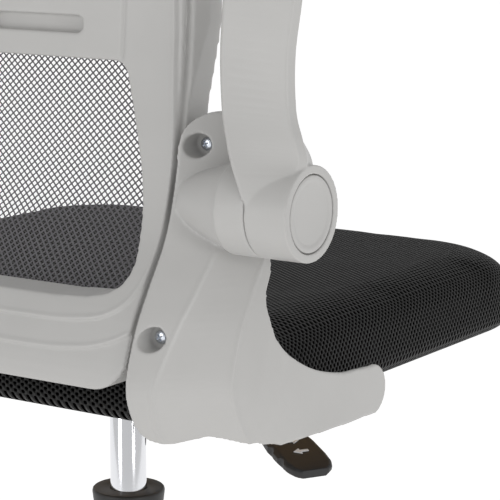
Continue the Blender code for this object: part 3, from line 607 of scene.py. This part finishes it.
def press_lines(obj):
    co = read_points(obj)
    x, z = np.abs(co[:, 0]), co[:, 2]
    rear = step(co[:, 1] - back_y(z), -0.004, -0.0015)
    out = beyond(RIDGE, co[:, [0, 2]])
    relief = 0.0008 * hump(out, -0.0010, 0.0013) - 0.0014 * step(out, 0.0, 0.0014)
    relief -= 0.0011 * hump(out, 0.0058, 0.0008) * step(z, 0.585, 0.600)
    below = np.interp(x, *np.array(RAIL_LINE).T) - z
    relief += 0.0008 * hump(below, -0.0010, 0.0013) - 0.0014 * step(below, 0.0, 0.0014)
    plate = step(z, 0.638, 0.644) * (1 - step(z, 0.722, 0.730))
    relief -= 0.0016 * hump(x, 0.1430, 0.0011) * plate
    co[:, 1] += relief * rear
    write_points(obj, co)


mould(back, 0.0012, 2, most=10 ** 7)
press_lines(back)
shape(back, "SMOOTH", factor=0.5, iterations=1)
thin_out(back)
dress(back, "back_frame_moulding", grey_nylon, "seat", "grey_nylon", "back_frame")
print("back frame:", len(back.data.polygons), "faces")

# %% [markdown]
# ## The back net
# The net is knitted with diamond holes, 5.2 mm wide and 4.7 mm high, and is stretched over
# the front of the frame. A grid turned by 45 degrees gives the diamonds, an individual
# inset leaves a thread round each one, and deleting the middles leaves real holes. The
# flat net is measured before it is bent to the curve, since that is the size it was cut to.

# %% A flat diamond net
NET_OUTLINE = mirrored([(0.150, 0.458), (0.180, 0.480), (0.186, 0.620), (0.186, 0.760),
                        (0.166, 0.950), (0.130, 0.988)])
HOLE_W, HOLE_H, THREAD = 5.2 * MM, 4.7 * MM, 1.15 * MM
cells = 178
bpy.ops.object.select_all(action="DESELECT")
bpy.ops.mesh.primitive_grid_add(x_subdivisions=cells, y_subdivisions=cells,
                                size=cells * HOLE_W / math.sqrt(2), rotation=(0, 0, math.radians(45)))
net = bake_place(bpy.context.active_object)
net.scale = (1.0, HOLE_H / HOLE_W, 1.0)
net.rotation_euler = (math.radians(90), 0, 0)
net.location = (0, 0, 0.723)
bake_place(net)
bpy.ops.object.mode_set(mode="EDIT")
bpy.ops.mesh.select_mode(type="FACE")
bpy.ops.mesh.select_all(action="DESELECT")
bpy.ops.object.mode_set(mode="OBJECT")
centres = np.array([face.center[:] for face in net.data.polygons])
for face, gap in zip(net.data.polygons, beyond(NET_OUTLINE, centres[:, [0, 2]])):
    face.select = bool(gap > 0)
bpy.ops.object.mode_set(mode="EDIT")
bpy.ops.mesh.delete(type="FACE")
bpy.ops.mesh.select_all(action="SELECT")
bpy.ops.mesh.inset(thickness=THREAD / 2, use_individual=True, use_boundary=True)
bpy.ops.mesh.delete(type="FACE")
bpy.ops.object.mode_set(mode="OBJECT")

# %% Stretch it over the curve
for point in net.data.vertices:
    point.co.y = float(back_y(point.co.z)) - FRAME_DEPTH - 0.0012
dress(net, "back_net_diamonds", net_thread, "seat", "back_net", "back_mesh")


# %% [markdown]
# The net's cut edge is sewn into a flat border strip that clips to the frame. The strip
# follows the same outline, a few millimetres inside it, and is made by carrying a small
# rounded section round a closed path.

# %% The sewn border
def border_path(inset):
    loop = np.array(NET_OUTLINE)
    centre = loop.mean(axis=0)
    pts = []
    for a, b in zip(loop, np.roll(loop, -1, axis=0)):
        pts += [a + (b - a) * t for t in np.linspace(0, 1, 14, endpoint=False)]
    pts = np.array(pts)
    for _ in range(6):
        pts = (np.roll(pts, 1, axis=0) + 2 * pts + np.roll(pts, -1, axis=0)) / 4
    way = np.roll(pts, -1, axis=0) - np.roll(pts, 1, axis=0)
    way /= np.linalg.norm(way, axis=1)[:, None]
    inward = np.stack([-way[:, 1], way[:, 0]], axis=1)
    inward *= np.sign(((centre - pts) * inward).sum(axis=1))[:, None]
    return pts + inward * inset, inward


path, inward = border_path(0.0045)
section = [(a * 0.0040, b * 0.0009) for a, b in ((-1, -0.5), (-0.8, -1), (0.8, -1), (1, -0.5),
                                               (1, 0.5), (0.8, 1), (-0.8, 1), (-1, 0.5))]
border = skin_over([
    [(x + ix * a, float(back_y(z + iz * a)) - FRAME_DEPTH - 0.0013 + b, z + iz * a) for a, b in section]
    for (x, z), (ix, iz) in zip(path, inward)], looped=True)
shape(border, "SUBSURF", levels=1, render_levels=1)
dress(border, "back_net_border", black_nylon, "seat", "back_net")
pick(border)
bpy.ops.object.shade_smooth()
print("border faces:", len(border.data.polygons))

# %% [markdown]
# ## The side brackets
# Each bracket joins back and seat, and carries the arm's hinge. It is a shell about 4 mm
# thick whose skin wraps from the rear face, over two soft creases, on to the side. The
# skin is drawn over level rings, hollowed, then trimmed by what is seen from the side and
# from behind. The hinge boss grows out of it as a cylinder with a conical root.

# %% The bracket's skin
HINGE_Y, HINGE_Z, BOSS_R, SEAM_X, HUB_END_X = 0.195, 0.555, 0.030, 0.2604, 0.2905
BOLT_BORE_R, WALL = 0.0058, 0.004


def first_crease(z):
    """How far out the first crease runs at a height."""
    return np.interp(z, (0.42, 0.44, 0.469, 0.50, 0.53), (0.206, 0.208, 0.214, 0.220, 0.224))


def bracket_ring(side, z, inset, inner_x):
    y = float(back_y(z)) + 0.002
    first = float(first_crease(z))
    line = ((0.160, y + 0.004), (0.196, y - 0.001), (first, y - 0.001 - 0.60 * (first - 0.196)),
            (0.2462, y - 0.0415), (0.2508, y - 0.0520), (0.2540, y - 0.0640), (0.2562, y - 0.0820),
            (0.2570, 0.100), (0.2550, 0.030))
    ring = []
    for k, (x, depth) in enumerate(line):
        way = Vector(line[min(k + 1, len(line) - 1)]) - Vector(line[max(k - 1, 0)])
        way.normalize()
        ring.append((side * (x + way.y * inset), depth - way.x * inset, z))
    return [(side * inner_x, ring[0][1], z)] + ring[1:] + [(side * inner_x, 0.030, z)]


def bracket_body(side, inset, inner_x, low, high):
    return skin_over([bracket_ring(side, z, inset, inner_x) for z in np.linspace(low, high, 49)])


def side_outline():
    front = ((0.175, 0.560), (0.176, 0.520), (0.1850, 0.497), (0.1825, 0.478), (0.1760, 0.466),
             (0.160, 0.4535), (0.135, 0.4415), (0.105, 0.4335), (0.080, 0.4310))
    line = [tuple(p) for p in through(front, 6)]
    line += arc((0.062, 0.4125), 0.0175, 80, 255, 16)
    line += [(0.100, 0.3970), (0.165, 0.3995), (0.198, 0.4040), (0.250, 0.4040), (0.30, 0.4040)]
    return line + [(0.30, 0.660), (0.175, 0.660)]


def rear_outline(side):
    line = [(0.2095, 0.4062), (0.2040, 0.4068), (0.1985, 0.4095), (0.1955, 0.4150), (0.1943, 0.4250),
            (0.1942, 0.450), (0.1945, 0.480), (0.1945, 0.510), (0.1940, 0.545)]
    line = [tuple(p) for p in through(line, 4)] + arc((0.2150, 0.5900), 0.0215, 180, 0, 20)
    line += [(0.2375, 0.572), (0.2440, 0.556), (0.262, 0.552), (0.262, 0.385), (0.2495, 0.385),
             (0.2490, 0.4042), (0.245, 0.4045), (0.235, 0.4090), (0.2282, 0.4115)]
    return [(side * x, z) for x, z in line]


# %% Thin raised lines along both creases
def raise_creases(obj, side, height=0.0007, width=0.0016):
    co = read_points(obj)
    rear = back_y(co[:, 2]) + 0.002
    first = first_crease(co[:, 2])
    for x, y, out in ((first, rear - 0.001 - 0.60 * (first - 0.196), (0.40, 0.92)),
                      (np.full(len(co), 0.2462), rear - 0.0415, (0.75, 0.66))):
        near = np.exp(-(((side * co[:, 0] - x) ** 2 + (co[:, 1] - y) ** 2) / width ** 2))
        near = near * np.clip((0.548 - co[:, 2]) / 0.020, 0, 1)
        co[:, 0] += side * out[0] * height * near
        co[:, 1] += out[1] * height * near
    write_points(obj, co)


# %% Build one bracket
def make_bracket(side):
    skin = bracket_body(side, 0.0, 0.180, 0.385, 0.625)
    hollow = bracket_body(side, WALL, 0.170, 0.375, 0.635)
    for _, z in SCREW_HEIGHTS:
        rear = float(back_y(z)) - 0.0254
        cut_out(hollow, rod((side * SCREW_X, rear, z), (side * SCREW_X, rear + 0.05, z), 0.0100))
    cut_out(skin, hollow)
    cut_out(skin, slab(side_outline(), "X", -0.35, 0.35), slab(rear_outline(side), "Y", -0.1, 0.5),
            operation="INTERSECT")
    boss = rod((side * 0.238, HINGE_Y, HINGE_Z), (side * (SEAM_X - 0.0003), HINGE_Y, HINGE_Z), BOSS_R)
    root = rod((side * 0.2420, HINGE_Y, HINGE_Z), (side * 0.2000, HINGE_Y - 0.004, HINGE_Z), BOSS_R, 0.017)
    foot = block((min(side * 0.165, side * 0.2535), 0.075, 0.3990),
                 (max(side * 0.165, side * 0.2535), 0.172, 0.4024))
    join_in(skin, boss, root, foot)
    cut_out(skin, rod((side * 0.19, HINGE_Y, HINGE_Z), (side * 0.28, HINGE_Y, HINGE_Z), BOLT_BORE_R))
    for _, z in SCREW_HEIGHTS:
        floor_y = float(back_y(z)) - SCREW_DEPTH
        cut_out(skin, rod((side * SCREW_X, floor_y, z), (side * SCREW_X, floor_y + 0.05, z), SCREW_BORE_R),
                rod((side * SCREW_X, floor_y - 0.03, z), (side * SCREW_X, floor_y + 0.01, z), SCREW_HOLE_R))
    mould(skin, 0.0011, 2, most=10 ** 7)
    raise_creases(skin, side)
    thin_out(skin)
    return skin


def mirror_copy(obj):
    """The same piece for the other side, turned over through the chair's middle plane."""
    pick(obj)
    bpy.ops.object.duplicate()
    other = bpy.context.active_object
    other.scale = (-1.0, 1.0, 1.0)
    bake_place(other)
    tidy_normals(other)
    return other


right_shell = make_bracket(-1)
left_shell = mirror_copy(right_shell)
for shell, word in ((right_shell, "right"), (left_shell, "left")):
    dress(shell, f"bracket_shell_{word}", grey_nylon, "seat", "grey_nylon", f"bracket_{word}")
    print(shell.name, len(shell.data.polygons), "faces")

# %% [markdown]
# The brackets are held by pan-head screws at the bottom of deep round bores. Each head is a
# flattened dome with a crossed recess, so it starts as a turned dome and is cut by two bars.

# %% Cross-head screws
def screw_head(word, height, side, z):
    profile = [(0.0, 0.0003), (0.0042, 0.0003), (0.0042, 0.0012), (0.0038, 0.0020), (0.0028, 0.0026),
               (0.0, 0.0028)]
    head = turned("screw", profile, 48)
    for bar in ((0.0024, 0.0005), (0.0005, 0.0024)):
        cut_out(head, block((-bar[0], -bar[1], 0.0012), (bar[0], bar[1], 0.01)))
    join_in(head, rod((0, 0, -0.0175), (0, 0, 0.0010), 0.0021, sides=24))
    head.rotation_euler = (math.radians(-90), math.radians(30), 0)
    head.location = (side * SCREW_X, float(back_y(z)) - SCREW_DEPTH, z)
    bake_place(head)
    bpy.ops.object.shade_smooth_by_angle(angle=math.radians(30))
    return dress(head, f"screw_{word}_{height}", zinc_plate, "seat", "zinc_steel",
                 f"bracket_screw_{word}_{height}")


for side, word in ((-1, "right"), (1, "left")):
    for height, z in SCREW_HEIGHTS:
        screw_head(word, height, side, z)
print("screws: 4")

# %% [markdown]
# ## The flip-up arms
# The arm stands upright when it is flipped up. Its root is a short drum round the hinge,
# and its broad rear face runs down on to the drum and stops on a slant, so the drum's
# round side comes out from under it. A shallow round cap closes the drum's outer end.

# %% Arm
ARM_STATIONS = (
    # height, inner x, outer x, front y, rear y inside, rear y outside, how far the front draws in
    (0.5520, 0.2602, 0.2640, 0.1850, 0.2252, 0.2250, 0.001),
    (0.5620, 0.2580, 0.2720, 0.1760, 0.2248, 0.2225, 0.002),
    (0.5760, 0.2521, 0.2850, 0.1720, 0.2238, 0.2140, 0.006),
    (0.5860, 0.2478, 0.2905, 0.1710, 0.2228, 0.2075, 0.012),
    (0.6000, 0.2427, 0.2880, 0.1710, 0.2205, 0.2075, 0.018),
    (0.6180, 0.2374, 0.2825, 0.1720, 0.2170, 0.2065, 0.020),
    (0.6500, 0.2328, 0.2805, 0.1740, 0.2120, 0.2045, 0.017),
    (0.6840, 0.2325, 0.2845, 0.1750, 0.2085, 0.2035, 0.012),
    (0.7100, 0.2325, 0.2885, 0.1755, 0.2070, 0.2050, 0.010),
    (0.7300, 0.2325, 0.2925, 0.1760, 0.2070, 0.2070, 0.010),
    (0.8500, 0.2325, 0.2925, 0.1760, 0.2070, 0.2070, 0.010),
    (0.8600, 0.2345, 0.2905, 0.1770, 0.2066, 0.2066, 0.010),
    (0.8680, 0.2390, 0.2860, 0.1800, 0.2055, 0.2055, 0.010))


def arm_ring(side, row):
    z, inner, outer, front, rear_in, rear_out, draw = row
    near_x, far_x = inner + 0.25 * draw, outer - draw
    c = min(0.006, 0.3 * (far_x - near_x))
    ring = ((near_x, front + c), (near_x + c, front), (far_x - c, front), (far_x, front + c),
            (outer, rear_out - c), (outer - 0.4 * c, rear_out), (inner + 0.4 * c, rear_in),
            (inner, rear_in - 0.4 * c))
    return [(side * x, y, z) for x, y in ring]


def make_arm(side, word):
    arm = skin_over([arm_ring(side, row) for row in through(ARM_STATIONS, 6)])
    hinge = Vector((0, HINGE_Y, HINGE_Z))
    near, far, out = Vector((side * SEAM_X, 0, 0)), Vector((side * HUB_END_X, 0, 0)), Vector((side, 0, 0))
    cut_out(arm, rod(hinge + near - out * 0.04, hinge + near, BOSS_R + 0.0006, sides=96))
    join_in(arm, rod(hinge + near, hinge + far, BOSS_R, sides=96))
    cut_out(arm, rod(hinge + near - out * 0.01, hinge + far, BOLT_BORE_R),
            rod(hinge + far - out * 0.0035, hinge + far + out * 0.01, 0.0246, sides=96),
            rod(hinge + far - out * 0.0085, hinge + far + out * 0.01, 0.0110))
    mould(arm, 0.0008, 3)
    dress(arm, f"arm_shell_{word}", grey_nylon, f"arm_{word}", "grey_nylon", f"arm_{word}")
    ring = [(0.0, -0.0034), (0.0236, -0.0034), (0.0241, -0.0028), (0.0241, -0.0014), (0.0236, -0.0005),
            (0.0226, -0.0002), (0.0205, -0.0006), (0.0195, -0.0011), (0.0185, -0.0013), (0.0, -0.0007)]
    cap = turned("cap", ring, 96)
    cap.rotation_euler = (0, math.radians(90 * side), 0)
    cap.location = hinge + far
    bake_place(cap)
    return dress(cap, f"hinge_cap_{word}", grey_nylon, f"arm_{word}", "grey_nylon", f"arm_cap_{word}")


for side, word in ((-1, "right"), (1, "left")):
    make_arm(side, word)


# %% [markdown]
# ## Soft goods
# The seat cushion is foam under spacer mesh. It is crowned, its side walls bulge a little
# and pull in at the bottom, and it is flat only where it rests on the board. A short cloth
# simulation with inner pressure gives that shape, from a slightly smaller solid.

# %% Inflate a padded solid
def inflate(obj, voxel, pressure, most_move, held_below=-1.0, fade=0.022):
    """Remesh, blow up with cloth pressure, limit each point's move and hold the foot still."""
    shape(obj, "REMESH", mode="VOXEL", voxel_size=voxel, use_smooth_shade=True)
    shape(obj, "SMOOTH", factor=0.5, iterations=4)
    start = np.array([v.co[:] for v in obj.data.vertices])
    pick(obj)
    mod = obj.modifiers.new("Cloth", "CLOTH")
    mod.settings.use_pressure = True
    mod.settings.uniform_pressure_force = pressure
    mod.settings.effector_weights.gravity = 0.0
    mod.point_cache.frame_start, mod.point_cache.frame_end = 1, 20
    for number in range(1, 21):
        bpy.context.scene.frame_set(number)
    bpy.ops.object.modifier_apply(modifier=mod.name)
    bpy.context.scene.frame_set(1)
    moved = np.array([v.co[:] for v in obj.data.vertices]) - start
    length = np.linalg.norm(moved, axis=1)[:, None]
    moved *= np.minimum(1.0, most_move / np.maximum(length, 1e-9))
    moved *= np.clip((start[:, 2:] - held_below) / fade, 0.0, 1.0)
    for point, place in zip(obj.data.vertices, start + moved):
        point.co = place
    shape(obj, "SMOOTH", factor=0.5, iterations=3)
    print("inflated", obj.name, "most", round(float(length.max()), 4))
    return obj


# %% The seat cushion
layers = ((0.4045, 0.020, 0.055), (0.4080, 0.012, 0.060), (0.4180, 0.007, 0.064), (0.4400, 0.007, 0.066),
          (0.4520, 0.011, 0.066), (0.4590, 0.022, 0.064), (0.4625, 0.042, 0.060))
rings = []
for z, draw, radius in layers:
    outline = round_rectangle((-0.240 + draw, -0.245 + draw), (0.240 - draw, 0.215 - draw), radius, 8)
    rings.append([(x, y, z) for x, y in outline])
cushion = skin_over(rings)
cushion.name = "seat_cushion_cover"
inflate(cushion, 0.005, 4.0, 0.0035, held_below=0.414)
shape(cushion, "SUBSURF", levels=1, render_levels=1)


def settle_cushion(obj):
    """Keep the cushion in its own space: flat below, and no wider than the seat."""
    for point in obj.data.vertices:
        co = point.co
        co.x = max(-0.2405, min(0.2405, co.x))
        co.y = max(-0.2455, min(0.2155, co.y))
        co.z = max(0.4036, min(0.4705, co.z))


settle_cushion(cushion)
print("cushion height:", round(max(v.co.z for v in cushion.data.vertices), 4))


# %% [markdown]
# The cover needs a flat map of the cloth. A point on top keeps its own x and y as its
# place on the cloth. A point on a side wall goes on by as much as it lies below the top
# edge, in the direction in which the wall faces.

# %% Lay the cloth's map over the cushion
def map_cloth(obj, edge_z):
    layer = obj.data.uv_layers.new(name="cloth")
    for face in obj.data.polygons:
        for loop_index in face.loop_indices:
            vertex = obj.data.vertices[obj.data.loops[loop_index].vertex_index]
            flat = Vector((vertex.normal.x, vertex.normal.y, 0))
            drop = max(0.0, edge_z - vertex.co.z)
            if flat.length > 1e-6:
                flat.normalize()
            layer.data[loop_index].uv = (vertex.co.x + flat.x * drop, vertex.co.y + flat.y * drop)


map_cloth(cushion, 0.455)
room = slab(round_rectangle((-0.2145, -0.2165), (0.2145, 0.1885), 0.055), "Z", 0.39, 0.4134)
cut_out(cushion, room)
dress(cushion, "seat_cushion_cover", spacer_mesh, "seat", "seat_fabric", "seat_cushion")
pick(cushion)
bpy.ops.object.shade_smooth_by_angle(angle=math.radians(50))


# %% Arm pads
def make_pad(side, word):
    rings = []
    for y, draw in ((0.2085, 0.003), (0.2100, 0.0018), (0.2160, 0.0018), (0.2195, 0.0050), (0.2208, 0.0120)):
        outline = round_rectangle((0.2355 + draw, 0.700 + draw), (0.2895 - draw, 0.862 - draw), 0.016, 8)
        rings.append([(side * x, y, z) for x, z in outline])
    pad = skin_over(rings)
    pad.name = f"arm_pad_cushion_{word}"
    inflate(pad, 0.003, 3.0, 0.0016)
    shape(pad, "SUBSURF", levels=1, render_levels=1)
    for point in pad.data.vertices:
        point.co.y = max(0.2083, min(0.2226, point.co.y))
    pick(pad)
    bpy.ops.object.shade_smooth()
    dress(pad, pad.name, pad_skin, f"arm_{word}", "arm_pad", f"arm_pad_{word}")


for side, word in ((-1, "right"), (1, "left")):
    make_pad(side, word)

# %% [markdown]
# ## The gas column
# The column is two chromed tubes, one sliding in the other, with a black plastic bush
# between them. All three are turned pieces, so each is a profile spun about the axis.

# %% Column pieces
outer = turned("column_outer_tube", [
    (0.0250, 0.2710), (0.0250, 0.0500), (0.00535, 0.0500), (0.00535, 0.0540), (0.0228, 0.0540),
    (0.0228, 0.2720), (0.0240, 0.2720)], 128)
dress(outer, outer.name, hard_chrome, "base", "chrome", "outer_tube")
bush = turned("column_bush", [
    (0.0270, 0.2860), (0.0278, 0.2852), (0.0281, 0.2835), (0.0272, 0.2760), (0.0260, 0.2723),
    (0.0225, 0.2723), (0.0225, 0.2050), (0.01435, 0.2050), (0.01435, 0.2856), (0.0150, 0.2860)], 128)
dress(bush, bush.name, black_nylon, "base", "black_nylon", "guide_bush")
inner = turned("column_inner_tube", [
    (0.0128, 0.3800), (0.0136, 0.3797), (0.0140, 0.3790), (0.0140, 0.1450), (0.00535, 0.1450),
    (0.00535, 0.1510), (0.0120, 0.1510), (0.0120, 0.3740), (0.00435, 0.3740), (0.00435, 0.3800)], 128)
dress(inner, inner.name, hard_chrome, "lift", "chrome", "pressure_tube")
print("column pieces: 3")

# %% [markdown]
# ## The seat lever
# The paddle is black nylon, wide and thin at its tip, with finger notches along its front
# edge and two raised arrows that say which way the seat moves.

# %% Lever paddle
ROOT, TIP = Vector((-0.140, 0.036, 0.3780)), Vector((-0.224, 0.084, 0.3545))
ALONG = (TIP - ROOT).normalized()
ACROSS = Vector((0, 0, 1)).cross(ALONG).normalized()
UP = ALONG.cross(ACROSS)


def on_paddle(share, across, up):
    return ROOT.lerp(TIP, share) + ACROSS * across + UP * up


rings = []
for share, half, low, high in ((0.0, 0.0075, -0.0055, 0.0055), (0.15, 0.0100, -0.0055, 0.0055),
                               (0.30, 0.0135, -0.0055, 0.0055), (0.62, 0.0180, -0.0050, 0.0046),
                               (0.80, 0.0182, -0.0048, 0.0041), (0.90, 0.0174, -0.0046, 0.0036),
                               (0.96, 0.0150, -0.0041, 0.0031), (1.0, 0.0105, -0.0036, 0.0026)):
    ring = ((-half, low * 0.4), (-half * 0.8, low), (half * 0.8, low), (half, low * 0.4),
            (half, high * 0.5), (half * 0.85, high), (-half * 0.85, high), (-half, high * 0.5))
    rings.append([on_paddle(share, a, b) for a, b in ring])
paddle = skin_over(rings)
for share in (0.34, 0.50, 0.66, 0.82):
    cut_out(paddle, rod(on_paddle(share, -0.0212, -0.02), on_paddle(share, -0.0212, 0.02), 0.0050))
cut_out(paddle, rod(on_paddle(-0.1, 0, 0), on_paddle(0.38, 0.0002, 0), 0.0036, sides=24))
mould(paddle, 0.0007, 3, most=60000)
dress(paddle, "lever_paddle_moulding", black_nylon, "lever", "black_nylon", "lever_paddle")


# %% Raised arrows on the paddle
def arrow(name, share, flip):
    """A flat arrow that lies on the paddle's upper face."""
    outline = ((-0.0012, -0.0060), (0.0012, -0.0060), (0.0012, 0.0), (0.0036, 0.0), (0.0, 0.0055),
               (-0.0036, 0.0), (-0.0012, 0.0))
    obj = slab([(a, b * flip) for a, b in outline], "Z", 0.0, 0.0008)
    top = 0.0040 + (0.0046 - 0.0040) * (0.82 - share) / 0.20
    place = on_paddle(share, 0.0, top - 0.0002)
    obj.matrix_world = Matrix.Translation(place) @ Matrix((ALONG, ACROSS, UP)).transposed().to_4x4()
    bake_place(obj)
    tidy_normals(obj)
    shape(obj, "BEVEL", width=0.0002, segments=2)
    return dress(obj, name, print_ink, "lever", "black_nylon")


arrow("lever_arrow_up", 0.62, 1)
arrow("lever_arrow_down", 0.76, -1)


# %% [markdown]
# ## Base, castors and mechanism
# The star base, the castor hoods and the tension knob keep their CAD shape and only need
# their edges rounded. A merged copy of each CAD mesh goes through the same moulding step.

# %% Rounded copies of CAD pieces
def rounded_copy(node, name, material, body, slot, voxel, passes, most=120000):
    source = bpy.data.objects[node]
    obj = place_new(name, source.data.copy())
    obj.matrix_world = source.matrix_world.copy()
    obj.data.materials.clear()
    tidy_normals(obj)
    bake_place(obj)
    mould(obj, voxel, passes, most)
    return dress(obj, name, material, body, slot, node)


rounded_copy("star_base", "star_base_moulding", grey_nylon, "base", "grey_nylon", 0.0014, 5, 180000)
rounded_copy("tension_knob", "tension_knob_moulding", black_nylon, "knob", "black_nylon", 0.0007, 3, 60000)
for number in range(1, 6):
    rounded_copy(f"castor_hood_{number}", f"castor_hood_moulding_{number}", black_nylon,
                 f"castor_{number}", "black_nylon", 0.0009, 3, 50000)


# %% [markdown]
# A castor wheel is nylon with a rounded tread, a shallow dished side and a small hub. It
# is turned once, and each copy takes its place from the CAD wheel that it stands for.

# %% Castor wheels
def wheel_profile():
    inner_face, outer_face, r = 0.0, 0.018, 0.025
    return [(0.00335, inner_face), (r - 0.0015, inner_face), (r - 0.0004, inner_face + 0.0006),
            (r, inner_face + 0.0020), (r, outer_face - 0.0034), (r - 0.0007, outer_face - 0.0014),
            (r - 0.0022, outer_face - 0.0002), (r - 0.0042, outer_face), (0.0196, outer_face - 0.0003),
            (0.0184, outer_face - 0.0018), (0.0080, outer_face - 0.0024), (0.0068, outer_face - 0.0014),
            (0.00335, outer_face - 0.0014)]


master_wheel = turned("wheel", wheel_profile(), 64)
TRAIL_DEG = (90.0, 0.0, 90.0, 90.0, 180.0)
for number in range(1, 6):
    low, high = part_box(f"castor_axle_{number}")
    centre = (Vector(low) + Vector(high)) / 2
    heading = math.radians(TRAIL_DEG[number - 1])
    for sign, word in ((-1, "left"), (1, "right")):
        wheel = master_wheel.copy()
        wheel.data = master_wheel.data.copy()
        bpy.context.scene.collection.objects.link(wheel)
        out = Vector((-math.sin(heading) * sign, math.cos(heading) * sign, 0))
        turn = out.to_track_quat("Z", "Y").to_matrix().to_4x4()
        wheel.matrix_world = Matrix.Translation(centre + out * 0.0058) @ turn
        bake_place(wheel)
        dress(wheel, f"wheel_tyre_{word}_{number}", black_nylon, f"wheel_{word}_{number}", "black_nylon",
              f"castor_wheel_{word}_{number}")
bpy.data.objects.remove(master_wheel, do_unlink=True)
print("wheels: 10")

# %% [markdown]
# Everything else keeps its CAD shape: pins, axles, bolts, spring, plate, housing and board.
# Each gets the finish of the real piece.

# %% Finishes of the CAD pieces
FINISH = {"mechanism_housing": powder_black, "seat_plate": powder_black, "seat_board": plywood,
          "lever_pivot_block": black_nylon}
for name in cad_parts:
    obj = bpy.data.objects.get(name)
    if obj is None or obj.type != "MESH":
        continue
    material = FINISH.get(name, zinc_plate)
    if len(obj.material_slots) == 0:
        obj.data.materials.append(material)
    for material_slot in obj.material_slots:
        material_slot.material = material
print("CAD nodes:", len(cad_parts))
